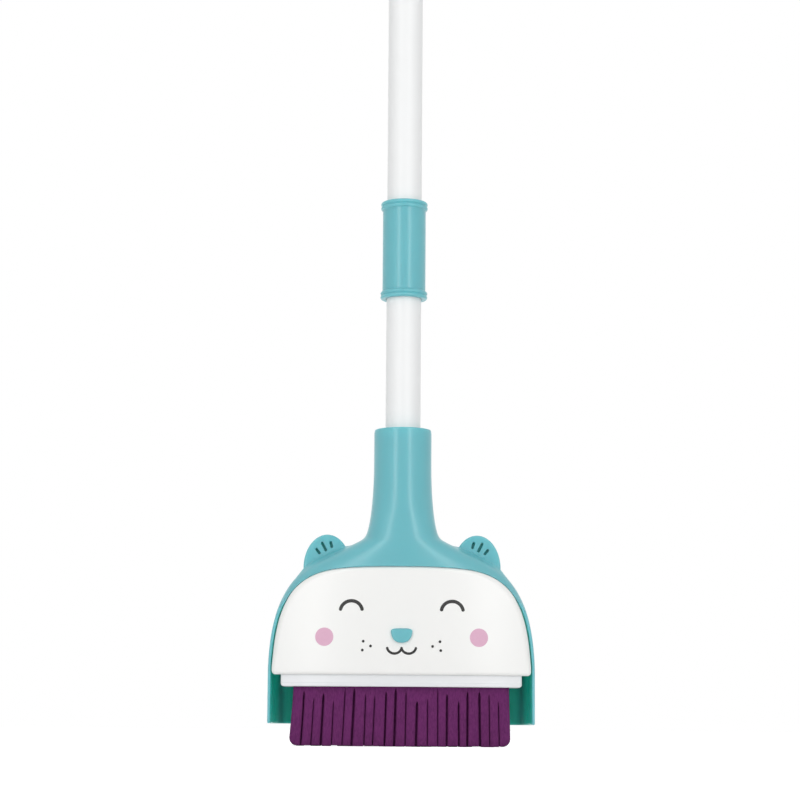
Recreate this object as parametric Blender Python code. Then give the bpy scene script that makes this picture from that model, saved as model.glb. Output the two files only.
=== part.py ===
"""Toy broom: an eared hood with a scoop-shaped back, a pull-out felt brush and a handle in two tubes.

Metres, +Z up. The broom stands on its fringe at z = 0, its handle is the Z axis and its face looks along -Y.
Everything in the brush is drawn flat and then bowed backwards towards its ends.
"""

import math

import bmesh
import bpy
from mathutils import Matrix, Vector

MM = 0.001

# Fits
CLEARANCE = 0.3 * MM
RAIL_CLEARANCE = 0.4 * MM
FACE_GAP = 0.8 * MM
LIP_LAP = 1.0 * MM

# Handle
TUBE_DIAMETER = 22.0 * MM
TUBE_WALL = 1.2 * MM
LOWER_TUBE_SHOWN = 82.5 * MM
UPPER_TUBE_SHOWN = 256.0 * MM
SLEEVE_LENGTH = 65.0 * MM
SLEEVE_WALL = 2.75 * MM
SLEEVE_STOP_HEIGHT = 3.0 * MM
SLEEVE_STOP_REACH = 2.2 * MM
BEAD_HEIGHT = 2.5 * MM
BEAD_PROUD = 0.9 * MM
BEAD_CROWN = (0.3, 0.7)
CAP_SPIGOT_LENGTH = 14.0 * MM
CAP_SPIGOT_WALL = 2.0 * MM
CAP_FLANGE_HEIGHT = 4.0 * MM
CAP_FLANGE_PROUD = 0.6 * MM
CAP_EDGE = 1.0 * MM
CAP_TAB_THICKNESS = 9.0 * MM
CAP_TAB_WALL = 5.0 * MM
CAP_TAB_STEM = 6.5 * MM
HANG_HOLE_DIAMETER = 9.0 * MM

# Fringe
FRINGE_WIDTH = 133.0 * MM
FRINGE_DROP = 36.3 * MM
FRINGE_GRIP = 18.0 * MM
FRINGE_FLARE = 1.5 * MM
FELT_THICKNESS = 3.1 * MM
FELT_LAYERS = 5
STRIP_COUNT = 21
SLIT_WIDTH = 0.5 * MM
SLIT_HEIGHT = 28.0 * MM

# Brush casing
BLOCK_WALL = 3.0 * MM
BLOCK_END = 7.5 * MM
BLOCK_ROOF = 2.0 * MM
BLOCK_SHOWN = 7.1 * MM
BLOCK_LIP_HEIGHT = 2.0 * MM
BLOCK_LIP_PROUD = 0.6 * MM
FACE_FRONT = 20.0 * MM
FACE_HEIGHT = 67.3 * MM
FACE_WALL = 2.2 * MM
FACE_END_ROOM = 3.6 * MM
FACE_EDGE_RADIUS = 5.0 * MM
FACE_CORNER_RADIUS = 5.0 * MM
FACE_FOOT_RADIUS = 2.0 * MM
FACE_DRAFT = 2.5 * MM
BOW_RADIUS = 265.0 * MM
COVER_WALL = 2.4 * MM
COVER_INSET = 0.5 * MM
COVER_SILL = 1.0 * MM
BOSS_DIAMETER = 7.0 * MM
BOSS_SPREAD = 38.0 * MM
BOSS_DROP = 24.0 * MM

# Nose
NOSE_WIDTH = 13.2 * MM
NOSE_HEIGHT = 8.8 * MM
NOSE_PROUD = 2.4 * MM
NOSE_EDGE = 1.0 * MM
NOSE_LEVEL = 24.0 * MM
NOSE_TOP_BULGE = 0.25
NOSE_TOP_CORNER = 0.5
NOSE_CHIN_CORNER = 0.8
NOSE_STEM_DIAMETER = 4.0 * MM
NOSE_STEM_TAIL = 1.0 * MM
RETAINER_DIAMETER = 9.0 * MM
RETAINER_THICKNESS = 1.2 * MM

# Hood
HOOD_WALL = 2.4 * MM
HOOD_LIFT = 13.6 * MM
LIP_STEP = 1.5 * MM
RIM_SETBACK = 14.0 * MM
SCOOP_DEPTH = 22.0 * MM
SHOULDER_RISE = 17.5 * MM
SHOULDER_BLEND = 20.0 * MM
NECK_LENGTH = 68.5 * MM
NECK_FLARE = 6.0 * MM
NECK_FLARE_HEIGHT = 40.0 * MM
NECK_EDGE_RADIUS = 1.5 * MM
NECK_CROWN = 7.0 * MM
NECK_CORE_GAP = 2.1 * MM
NECK_RIB_THICKNESS = 2.0 * MM
NECK_RIBS = 4
SOCKET_DEPTH = 60.0 * MM
SOCKET_WALL = 2.2 * MM
SOCKET_FLOOR = 3.0 * MM
RAIL_SPREAD = 26.0 * MM
RAIL_THICKNESS = 3.0 * MM
RAIL_LENGTH = 36.0 * MM
RAIL_START = 6.0 * MM
CHANNEL_WALL = 2.0 * MM
CHANNEL_REACH = 6.0 * MM
CHANNEL_LENGTH = 28.0 * MM
EAR_RADIUS = 13.9 * MM
EAR_SPREAD = 46.8 * MM
EAR_SINK = 1.0 * MM
EAR_STEM = 10.0 * MM
EAR_THICKNESS = 4.5 * MM
EAR_SETBACK = 1.0 * MM
EAR_GROOVE_WIDTH = 1.4 * MM
EAR_GROOVE_DEPTH = 1.0 * MM
EAR_GROOVE_LENGTH = 6.2 * MM
EAR_SIDE_GROOVE_LENGTH = 4.2 * MM
EAR_GROOVE_STEP = 5.2 * MM
EAR_GROOVE_RISE = 7.0 * MM
EAR_GROOVE_LEAN = math.radians(27)
EAR_GROOVE_FAN = math.radians(11)

# Handles of the drawn curves, as shares of the width and of the height that each curve spans
SHOULDER_SIDE_HANDLE = (0.966, 0.078)
SHOULDER_TOP_HANDLE = (0.516, 0.171)
NECK_FOOT_HANDLE = 0.13
NECK_TOP_HANDLE = 0.55
ARCH_SIDE_HANDLE = (0.96, 0.953)
ARCH_TOP_HANDLE = 0.695
RIM_SWEEP_HANDLES = (0.35, 0.6, 0.75, 0.8)

# How square the hood's sections are: 2 is round
ROUND_POWER = 2
FRONT_POWER = 3
BACK_POWER = 5

# Screws
SCREW_DIAMETER = 3.0 * MM
SCREW_HEAD_DIAMETER = 6.0 * MM
SCREW_HEAD_HEIGHT = 1.5 * MM
SCREW_BITE = 1.8 * MM
FACE_SCREW_LENGTH = 12.0 * MM
BLOCK_SCREW_SPREAD = 48.0 * MM
BLOCK_SCREW_RISE = 4.0 * MM

# Radii, levels and depths that follow from the sizes above
TUBE_RADIUS = TUBE_DIAMETER / 2
TUBE_BORE = TUBE_RADIUS - TUBE_WALL
SOCKET_RADIUS = TUBE_RADIUS + CLEARANCE
SOCKET_OUTER = SOCKET_RADIUS + SOCKET_WALL
NECK_RADIUS = SOCKET_OUTER + NECK_CORE_GAP + HOOD_WALL
SLEEVE_RADIUS = SOCKET_RADIUS + SLEEVE_WALL
CAP_TAB_RADIUS = HANG_HOLE_DIAMETER / 2 + CAP_TAB_WALL
SCREW_RADIUS = SCREW_DIAMETER / 2
SCREW_HEAD_RADIUS = SCREW_HEAD_DIAMETER / 2
SCREW_HOLE = SCREW_RADIUS + CLEARANCE

BLOCK_BOTTOM = FRINGE_DROP
FELT_TOP = FRINGE_DROP + FRINGE_GRIP
SLOT_TOP = FELT_TOP + CLEARANCE
BLOCK_TOP = SLOT_TOP + BLOCK_ROOF
FACE_BOTTOM = BLOCK_BOTTOM + BLOCK_SHOWN
FACE_TOP = FACE_BOTTOM + FACE_HEIGHT
COVER_BOTTOM = FACE_BOTTOM + COVER_SILL
BLOCK_SCREW_LEVEL = COVER_BOTTOM + BLOCK_SCREW_RISE
BOSS_LEVEL = FACE_TOP - BOSS_DROP
NOSE_CENTRE = FACE_BOTTOM + NOSE_LEVEL
SHOULDER_TOP = FACE_TOP + SHOULDER_RISE
FLARE_TOP = SHOULDER_TOP + NECK_FLARE_HEIGHT
NECK_TOP = SHOULDER_TOP + NECK_LENGTH
SOCKET_BOTTOM = NECK_TOP - SOCKET_DEPTH
NECK_SCREW_LEVEL = NECK_TOP - SOCKET_DEPTH / 2
SLEEVE_BOTTOM = NECK_TOP + LOWER_TUBE_SHOWN
SLEEVE_TOP = SLEEVE_BOTTOM + SLEEVE_LENGTH
SLEEVE_MIDDLE = (SLEEVE_BOTTOM + SLEEVE_TOP) / 2
SLEEVE_SCREW_LEVEL = SLEEVE_BOTTOM + SLEEVE_LENGTH / 4
UPPER_TUBE_TOP = SLEEVE_TOP + UPPER_TUBE_SHOWN

FRINGE_HALF_WIDTH = FRINGE_WIDTH / 2
BLOCK_HALF_WIDTH = FRINGE_HALF_WIDTH + CLEARANCE + BLOCK_END
FACE_HALF_WIDTH = BLOCK_HALF_WIDTH + FACE_END_ROOM + FACE_WALL
HOOD_HALF_WIDTH = FACE_HALF_WIDTH + FACE_GAP + HOOD_WALL

BLOCK_FRONT = -FACE_FRONT + FACE_WALL + CLEARANCE
SLOT_FRONT = BLOCK_FRONT + BLOCK_WALL
FELT_FRONT = SLOT_FRONT + CLEARANCE
FELT_PITCH = FELT_THICKNESS + CLEARANCE
SLOT_BACK = FELT_FRONT + FELT_LAYERS * FELT_PITCH
BLOCK_BACK = SLOT_BACK + BLOCK_WALL
COVER_FRONT = BLOCK_BACK + CLEARANCE
COVER_BACK = COVER_FRONT + COVER_WALL
HOOD_FRONT = FACE_FRONT + LIP_STEP
HOOD_BACK = COVER_BACK + SCOOP_DEPTH + HOOD_WALL
RIM_FRONT = -FACE_FRONT + RIM_SETBACK
EAR_BACK = EAR_SETBACK + EAR_THICKNESS
RAIL_BOTTOM = BLOCK_TOP + RAIL_START
RAIL_HALF = RAIL_THICKNESS / 2
CHANNEL_INNER = RAIL_HALF + RAIL_CLEARANCE
CHANNEL_OUTER = CHANNEL_INNER + CHANNEL_WALL
CHANNEL_FLOOR = RAIL_BOTTOM - CLEARANCE

# Facets of round pieces, steps along curves and how far a cutter runs past what it cuts
ROUND_SIDES = 32
PIN_SIDES = 12
RING_POINTS = 40
CURVE_STEPS = 8
NECK_STEPS = 6
EDGE_STEPS = 3
CAP_RINGS = 4
BAR_STATIONS = 17
OVERSHOOT = 5.0 * MM

# Finishes: linear colour, roughness, metallic
TEAL_PLASTIC = ((0.165, 0.475, 0.525), 0.35, 0.0)
WHITE_PLASTIC = ((0.90, 0.90, 0.89), 0.30, 0.0)
PURPLE_FELT = ((0.100, 0.018, 0.085), 0.95, 0.0)
SCREW_STEEL = ((0.55, 0.55, 0.56), 0.35, 1.0)


def clear_scene():
    """Remove every object of the open scene."""
    for old in list(bpy.data.objects):
        bpy.data.objects.remove(old, do_unlink=True)


def finish_of(name, colour, roughness, metallic):
    """One Principled material."""
    material = bpy.data.materials.new(name)
    material.use_nodes = True
    shader = material.node_tree.nodes["Principled BSDF"]
    shader.inputs["Base Color"].default_value = (*colour, 1.0)
    shader.inputs["Roughness"].default_value = roughness
    shader.inputs["Metallic"].default_value = metallic
    return material


def object_of(name, mesh, finish=None):
    """A closed bmesh as a scene object with its faces turned outwards."""
    bmesh.ops.recalc_face_normals(mesh, faces=mesh.faces)
    data = bpy.data.meshes.new(name)
    mesh.to_mesh(data)
    mesh.free()
    piece = bpy.data.objects.new(name, data)
    bpy.context.scene.collection.objects.link(piece)
    if finish:
        data.materials.append(finish_of(f"{name} finish", *finish))
        data.shade_smooth()
        data.set_sharp_from_angle(angle=math.radians(30))
    return piece


def combine(piece, operation, meshes):
    """Join or cut a piece with tool shapes that the build leaves out."""
    for mesh in meshes:
        tool = object_of(f"{piece.name} {operation.lower()} tool", mesh)
        tool.parent = piece
        tool.hide_render = True
        tool.display_type = "WIRE"
        step = piece.modifiers.new(tool.name, "BOOLEAN")
        step.operation = operation
        step.solver = "EXACT"
        step.object = tool


def cut(piece, *meshes):
    """Take shapes out of a piece."""
    combine(piece, "DIFFERENCE", meshes)


def join(piece, *meshes):
    """Add shapes to a piece."""
    combine(piece, "UNION", meshes)


def hang(pieces, name, height):
    """Parent what moves together to an empty on the handle's axis, without moving it, and return the empty."""
    empty = bpy.data.objects.new(name, None)
    empty.location = (0, 0, height)
    bpy.context.scene.collection.objects.link(empty)
    for piece in pieces:
        piece.parent = empty
        piece.matrix_parent_inverse = Matrix.Translation((0, 0, -height))
    return empty


def mix(start, end, share):
    """The value that lies a share of the way from start to end."""
    return start + (end - start) * share


def smooth(share):
    """A share from 0 to 1, eased at both ends."""
    share = min(max(share, 0.0), 1.0)
    return share * share * (3 - 2 * share)


def bezier(points, share):
    """A point of the cubic curve with these four control points."""
    first, second, third, last = (Vector(point) for point in points)
    rest = 1 - share
    return (
        first * rest**3
        + second * (3 * rest**2 * share)
        + third * (3 * rest * share**2)
        + last * share**3
    )


def curve(points, steps):
    """Points along a cubic curve, from its first control point up to its last."""
    return [bezier(points, i / steps) for i in range(steps + 1)]


def bow(x):
    """How far back the brush lies at this distance from its middle."""
    return x * x / (2 * BOW_RADIUS)


def bowed(mesh):
    """Bend a flat brush part backwards towards its ends."""
    for vertex in mesh.verts:
        vertex.co.y += bow(vertex.co.x)
    return mesh


def skin(rings):
    """A closed mesh over rings of equal length. A ring of one point closes an end as a fan."""
    mesh = bmesh.new()
    loops = [[mesh.verts.new(point) for point in ring] for ring in rings]
    for lower, upper in zip(loops, loops[1:]):
        count = max(len(lower), len(upper))
        for i in range(count):
            after = (i + 1) % count
            if len(lower) == 1:
                mesh.faces.new((lower[0], upper[after], upper[i]))
            elif len(upper) == 1:
                mesh.faces.new((lower[i], lower[after], upper[0]))
            else:
                mesh.faces.new((lower[i], lower[after], upper[after], upper[i]))
    for loop in (loops[0], loops[-1]):
        if len(loop) > 1:
            mesh.faces.new(loop)
    return mesh


def circle(radius, height, sides=ROUND_SIDES):
    """A ring of points about Z."""
    turns = [2 * math.pi * i / sides for i in range(sides)]
    return [(radius * math.cos(turn), radius * math.sin(turn), height) for turn in turns]


def turned(profile):
    """A hollow mesh turned about Z from a closed outline of (radius, height) points."""
    mesh = bmesh.new()
    rings = [[mesh.verts.new(point) for point in circle(*corner)] for corner in profile]
    for lower, upper in zip(rings, rings[1:] + rings[:1]):
        for i in range(ROUND_SIDES):
            after = (i + 1) % ROUND_SIDES
            mesh.faces.new((lower[i], lower[after], upper[after], upper[i]))
    return mesh


def bar(radius, bottom, top, sides=ROUND_SIDES):
    """A round bar along Z."""
    return skin([circle(radius, bottom, sides), circle(radius, top, sides)])


def box(low, high):
    """A box between two corners."""
    (x0, y0, z0), (x1, y1, z1) = low, high
    foot = [(x0, y0), (x1, y0), (x1, y1), (x0, y1)]
    return skin([[(x, y, z) for x, y in foot] for z in (z0, z1)])


def gathered(meshes):
    """Several shapes that don't touch as one tool shape."""
    whole = bmesh.new()
    for mesh in meshes:
        twins = {vertex: whole.verts.new(vertex.co) for vertex in mesh.verts}
        for face in mesh.faces:
            whole.faces.new([twins[vertex] for vertex in face.verts])
        mesh.free()
    return whole


def moved(mesh, matrix):
    """A mesh with a transform applied."""
    bmesh.ops.transform(mesh, matrix=matrix, verts=mesh.verts)
    return mesh


def along_y(mesh, x, z):
    """Lay a mesh made along Z down along +Y, through a point of the XZ plane."""
    turn = Matrix.Rotation(math.radians(-90), 4, "X")
    return moved(mesh, Matrix.Translation((x, 0, z)) @ turn)


def drill(x, z, start, end, radius=SCREW_HOLE):
    """A round cutter along Y."""
    return along_y(bar(radius, start, end, PIN_SIDES), x, z)


def screw(name, x, z, seat, length):
    """A pan-head screw driven towards -Y, with the underside of its head at the seat."""
    profile = [
        (SCREW_RADIUS / 3, seat - length),
        (SCREW_RADIUS, seat - length + SCREW_DIAMETER),
        (SCREW_RADIUS, seat),
        (SCREW_HEAD_RADIUS, seat),
        (SCREW_HEAD_RADIUS, seat + SCREW_HEAD_HEIGHT / 2),
        (SCREW_HEAD_RADIUS * 2 / 3, seat + SCREW_HEAD_HEIGHT),
    ]
    rings = [circle(radius, height, PIN_SIDES) for radius, height in profile]
    return object_of(name, along_y(skin(rings), x, z), SCREW_STEEL)


def hood_outline():
    """Half widths and heights of the hood's front silhouette, from its open foot to the neck's top edge."""
    root = Vector((NECK_RADIUS + NECK_FLARE, SHOULDER_TOP))

    def handle(across, up):
        return Vector((mix(root.x, HOOD_HALF_WIDTH, across), mix(FACE_TOP, SHOULDER_TOP, up)))

    top_handle = handle(*SHOULDER_TOP_HANDLE)
    side = Vector((HOOD_HALF_WIDTH, FACE_BOTTOM + FACE_CORNER_RADIUS))
    shoulder = [side, handle(*SHOULDER_SIDE_HANDLE), top_handle, root]
    neck = [
        root,
        root + (root - top_handle) * NECK_FOOT_HANDLE,
        (NECK_RADIUS, mix(SHOULDER_TOP, FLARE_TOP, NECK_TOP_HANDLE)),
        (NECK_RADIUS, FLARE_TOP),
    ]
    points = [Vector((HOOD_HALF_WIDTH, HOOD_LIFT))]
    points += curve(shoulder, CURVE_STEPS)
    points += curve(neck, NECK_STEPS)[1:]
    return points


def hood_ring(half_width, height, level, inset):
    """One horizontal section of the hood: a round front, a squarer back, and a circle at the neck."""
    spread = smooth((FLARE_TOP - level) / (FLARE_TOP - FACE_TOP + SHOULDER_BLEND))
    corner = smooth((SHOULDER_TOP - level) / (SHOULDER_RISE + SHOULDER_BLEND))
    front = mix(NECK_RADIUS, HOOD_FRONT, spread) - inset
    back = mix(NECK_RADIUS, HOOD_BACK, spread) - inset
    ring = []
    for i in range(RING_POINTS):
        turn = 2 * math.pi * i / RING_POINTS
        across, deep = math.cos(turn), math.sin(turn)
        power = mix(ROUND_POWER, FRONT_POWER, corner) if deep < 0 else mix(ROUND_POWER, BACK_POWER, spread)
        x = half_width * math.copysign(abs(across) ** (2 / power), across)
        y = math.copysign(abs(deep) ** (2 / power), deep) * (front if deep < 0 else back)
        ring.append((x, y, height))
    return ring


def hood_body():
    """The hood's outer shape, solid."""
    rings = [hood_ring(half, level, level, 0) for half, level in hood_outline()]
    rings.append(circle(NECK_RADIUS, NECK_TOP - NECK_EDGE_RADIUS, RING_POINTS))
    rings.append(circle(NECK_RADIUS - NECK_EDGE_RADIUS, NECK_TOP, RING_POINTS))
    return skin(rings)


def hood_hollow():
    """The hood's inside: its outer shape set in by the wall, up to the neck's crown."""
    outline = hood_outline()
    rings = [hood_ring(HOOD_HALF_WIDTH - HOOD_WALL, HOOD_LIFT - OVERSHOOT, HOOD_LIFT, HOOD_WALL)]
    for i, (half, level) in enumerate(outline[1:], 1):
        along = outline[min(i + 1, len(outline) - 1)] - outline[i - 1]
        inward = Vector((-along.y, along.x)).normalized() * HOOD_WALL
        rings.append(hood_ring(half + inward.x, level + inward.y, level, HOOD_WALL))
    rings.append(circle(NECK_RADIUS - HOOD_WALL, NECK_TOP - NECK_CROWN, RING_POINTS))
    return skin(rings)


def half_arch(half_width, top):
    """The right half of the face's arch as (x, z) points, from its foot up to its middle."""
    start = FACE_BOTTOM + FACE_CORNER_RADIUS
    arch = [
        (half_width, start),
        (half_width * ARCH_SIDE_HANDLE[0], mix(start, top, ARCH_SIDE_HANDLE[1])),
        (half_width * ARCH_TOP_HANDLE, top),
        (0, top),
    ]
    return [tuple(point) for point in curve(arch, 2 * CURVE_STEPS)]


def mirrored(right):
    """Points of a right half, then those of the left half on the way back."""
    return right + [(-x, z) for x, z in reversed(right[:-1])]


def dome_outline(half_width, foot, top, corner):
    """The face's outline as (x, z) points: straight foot, round lower corners and one wide arch."""
    straight = half_width - corner
    right = [(straight * (i + 0.5) / CURVE_STEPS, foot) for i in range(CURVE_STEPS)]
    for i in range(EDGE_STEPS + 1):
        turn = math.radians(90) * i / EDGE_STEPS
        right.append((straight + corner * math.sin(turn), foot + corner * (1 - math.cos(turn))))
    return mirrored(right + half_arch(half_width, top)[1:])


def inset_dome(inset, foot_inset, depth):
    """A ring of the face's outline, set in by one distance at the arch and by another at the foot."""
    outline = dome_outline(
        FACE_HALF_WIDTH - inset, FACE_BOTTOM + foot_inset, FACE_TOP - inset, FACE_CORNER_RADIUS
    )
    return [(x, depth, z) for x, z in outline]


def shrunk(ring, share):
    """A ring drawn in towards the middle of its own foot and top."""
    middle = (min(z for _, _, z in ring) + max(z for _, _, z in ring)) / 2
    return [(x * share, y, mix(middle, z, share)) for x, y, z in ring]


def capped(rings):
    """Rings with both ends closed by smaller rings and a point, so that a bow bends the ends too."""
    steps = [i / CAP_RINGS for i in range(1, CAP_RINGS)]
    first = [shrunk(rings[0], 0)[:1]] + [shrunk(rings[0], share) for share in steps]
    last = [shrunk(rings[-1], share) for share in reversed(steps)] + [shrunk(rings[-1], 0)[:1]]
    return first + rings + last


def bowed_arch(half_width, top, section):
    """A bowed slab under the face's arch, from its section at each point of the arch."""
    return bowed(skin([section(x, z) for x, z in mirrored(half_arch(half_width, top))]))


def bowed_bar(half_width, section):
    """A bowed bar across the brush, from a section of (y, z) points."""
    rings = []
    for i in range(BAR_STATIONS):
        x = mix(-half_width, half_width, i / (BAR_STATIONS - 1))
        rings.append([(x, y, z) for y, z in section])
    return bowed(skin(rings))


def ear_groove(middle_x, middle_z, lean, length):
    """A round-ended groove cutter in the ear's front face, leaning from the vertical."""
    radius = EAR_GROOVE_WIDTH / 2
    outline = []
    for i in range(PIN_SIDES):
        turn = 2 * math.pi * (i + 0.5) / PIN_SIDES
        shift = math.copysign(length / 2 - radius, math.sin(turn))
        outline.append((radius * math.cos(turn), radius * math.sin(turn) + shift))
    rings = [[(x, y, z) for x, z in outline] for y in (-OVERSHOOT, EAR_GROOVE_DEPTH)]
    place = Matrix.Translation((middle_x, EAR_SETBACK, middle_z)) @ Matrix.Rotation(lean, 4, "Y")
    return moved(skin(rings), place)


def shoulder_height(x):
    """The height of the hood's silhouette at a distance from its middle."""
    outline = hood_outline()
    for (wide, low), (narrow, high) in zip(outline, outline[1:]):
        if narrow <= x <= wide and wide > narrow:
            return mix(low, high, (wide - x) / (wide - narrow))
    return SHOULDER_TOP


def ear_plate(x, level):
    """One ear: a plate with a round top, straight sides and a foot inside the shoulder."""
    outline = [(EAR_RADIUS, -EAR_STEM)]
    for i in range(ROUND_SIDES // 2 + 1):
        turn = 2 * math.pi * i / ROUND_SIDES
        outline.append((EAR_RADIUS * math.cos(turn), EAR_RADIUS * math.sin(turn)))
    outline.append((-EAR_RADIUS, -EAR_STEM))
    rings = [[(x + across, y, level + up) for across, up in outline] for y in (EAR_SETBACK, EAR_BACK)]
    return skin(rings)


def ears():
    """Two ear plates and the three grooves in each."""
    level = shoulder_height(EAR_SPREAD) - EAR_SINK
    plates, grooves = [], []
    for side in (-1, 1):
        plates.append(ear_plate(side * EAR_SPREAD, level))
        for step in (-1, 0, 1):
            lean = EAR_GROOVE_LEAN + step * EAR_GROOVE_FAN
            across = EAR_GROOVE_RISE * math.sin(EAR_GROOVE_LEAN) + step * EAR_GROOVE_STEP * math.cos(lean)
            up = EAR_GROOVE_RISE * math.cos(EAR_GROOVE_LEAN) - step * EAR_GROOVE_STEP * math.sin(lean)
            length = EAR_SIDE_GROOVE_LENGTH if step else EAR_GROOVE_LENGTH
            place = (side * (EAR_SPREAD + across), level + up)
            grooves.append(ear_groove(*place, side * lean, length))
    return plates, grooves


def rim_trim():
    """A cutter in front of the side walls that leaves their edges blunt and sweeps forward to the lip."""
    levels = [FACE_BOTTOM + FACE_HEIGHT * share for share in RIM_SWEEP_HANDLES]
    depths = (RIM_FRONT, RIM_FRONT, RIM_FRONT - LIP_STEP, -HOOD_FRONT)
    sweep = curve(list(zip(depths, levels)), CURVE_STEPS)
    front = -HOOD_FRONT - OVERSHOOT
    section = [(front, HOOD_LIFT - OVERSHOOT), (RIM_FRONT, HOOD_LIFT - OVERSHOOT)]
    section += [tuple(point) for point in sweep]
    section.append((front, sweep[-1].y))
    reach = HOOD_HALF_WIDTH + OVERSHOOT
    return skin([[(x, y, z) for y, z in section] for x in (-reach, reach)])


def make_hood():
    """The hood: neck socket, shoulders, ears and scoop in one moulding."""
    hood = object_of("hood_shell", hood_body(), TEAL_PLASTIC)
    plates, grooves = ears()
    join(hood, gathered(plates))

    hollow = object_of("hood_shell hollow", hood_hollow())
    hollow.parent = hood
    hollow.hide_render = True
    hollow.display_type = "WIRE"
    cut(hollow, bar(SOCKET_OUTER, SOCKET_BOTTOM - SOCKET_FLOOR, NECK_TOP))
    for i in range(NECK_RIBS // 2):
        rib = box(
            (-NECK_RADIUS, -NECK_RIB_THICKNESS / 2, SOCKET_BOTTOM),
            (NECK_RADIUS, NECK_RIB_THICKNESS / 2, NECK_TOP),
        )
        cut(hollow, moved(rib, Matrix.Rotation(math.pi * (i + 0.5) / (NECK_RIBS // 2), 4, "Z")))
    cut(hollow, along_y(bar(SCREW_HEAD_RADIUS + SOCKET_WALL, 0, NECK_RADIUS), 0, NECK_SCREW_LEVEL))
    rail_front = COVER_BACK + CLEARANCE + bow(RAIL_SPREAD + RAIL_THICKNESS)
    for side in (-1, 1):
        low = (side * RAIL_SPREAD - RAIL_HALF, rail_front, RAIL_BOTTOM)
        high = (side * RAIL_SPREAD + RAIL_HALF, HOOD_BACK, RAIL_BOTTOM + RAIL_LENGTH)
        cut(hollow, box(low, high))
    step = hood.modifiers.new("hollow", "BOOLEAN")
    step.operation = "DIFFERENCE"
    step.solver = "EXACT"
    step.object = hollow

    opening = dome_outline(
        FACE_HALF_WIDTH + FACE_GAP, HOOD_LIFT - 2 * OVERSHOOT, FACE_TOP - LIP_LAP, FACE_CORNER_RADIUS
    )
    cut(hood, skin([[(x, y, z) for x, z in opening] for y in (-HOOD_FRONT - OVERSHOOT, 0)]))
    cut(hood, rim_trim(), gathered(grooves))
    cut(hood, bar(SOCKET_RADIUS, SOCKET_BOTTOM, NECK_TOP + OVERSHOOT))
    seat = NECK_RADIUS - SCREW_HEAD_HEIGHT - CLEARANCE
    cut(hood, drill(0, NECK_SCREW_LEVEL, 0, NECK_RADIUS))
    cut(hood, drill(0, NECK_SCREW_LEVEL, seat, HOOD_BACK, SCREW_HEAD_RADIUS + CLEARANCE))
    neck_screw = screw(
        "neck_screw", 0, NECK_SCREW_LEVEL, seat + CLEARANCE, seat - TUBE_BORE + SCREW_BITE
    )
    return [hood, neck_screw]


def face_hollow():
    """The face's inside: its outer shape set in by the wall, with a chamfer behind the round edge."""
    half_width = FACE_HALF_WIDTH - FACE_WALL
    chamfer = FACE_EDGE_RADIUS - FACE_WALL
    foot = FACE_BOTTOM - OVERSHOOT
    back = BLOCK_BACK + OVERSHOOT

    def section(x, z):
        front = -FACE_FRONT + FACE_WALL + max(0.0, chamfer - (half_width - abs(x)))
        back_x = x * (half_width - FACE_DRAFT) / half_width
        return [
            (x, front, foot),
            (x, front, z - chamfer),
            (x, -FACE_FRONT + FACE_EDGE_RADIUS, z),
            (back_x, back, z - FACE_DRAFT),
            (back_x, back, foot),
        ]

    return bowed_arch(half_width, FACE_TOP - FACE_WALL, section)


def make_face():
    """The white face shell with its screw bosses."""
    front = -FACE_FRONT
    rings = [
        inset_dome(FACE_DRAFT, FACE_DRAFT, BLOCK_BACK),
        inset_dome(0, 0, front + FACE_EDGE_RADIUS),
    ]
    for i in range(1, EDGE_STEPS + 1):
        turn = math.radians(90) * i / EDGE_STEPS
        drawn = 1 - math.cos(turn)
        ring_depth = front + FACE_EDGE_RADIUS * (1 - math.sin(turn))
        rings.append(inset_dome(FACE_EDGE_RADIUS * drawn, FACE_FOOT_RADIUS * drawn, ring_depth))
    face = object_of("face_shell", bowed(skin(capped(rings))), WHITE_PLASTIC)

    cut(face, face_hollow())
    set_back = bow(BOSS_SPREAD)
    for side in (-1, 1):
        x = side * BOSS_SPREAD
        boss = bar(BOSS_DIAMETER / 2, front + FACE_WALL / 2 + set_back, BLOCK_BACK + set_back - CLEARANCE)
        join(face, along_y(boss, x, BOSS_LEVEL))
        end = COVER_BACK + set_back
        cut(face, drill(x, BOSS_LEVEL, end - FACE_SCREW_LENGTH - CLEARANCE, end))
    stem_hole = NOSE_STEM_DIAMETER / 2 + CLEARANCE
    cut(face, drill(0, NOSE_CENTRE, front - OVERSHOOT, front + FACE_WALL + OVERSHOOT, stem_hole))
    return [face]


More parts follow.
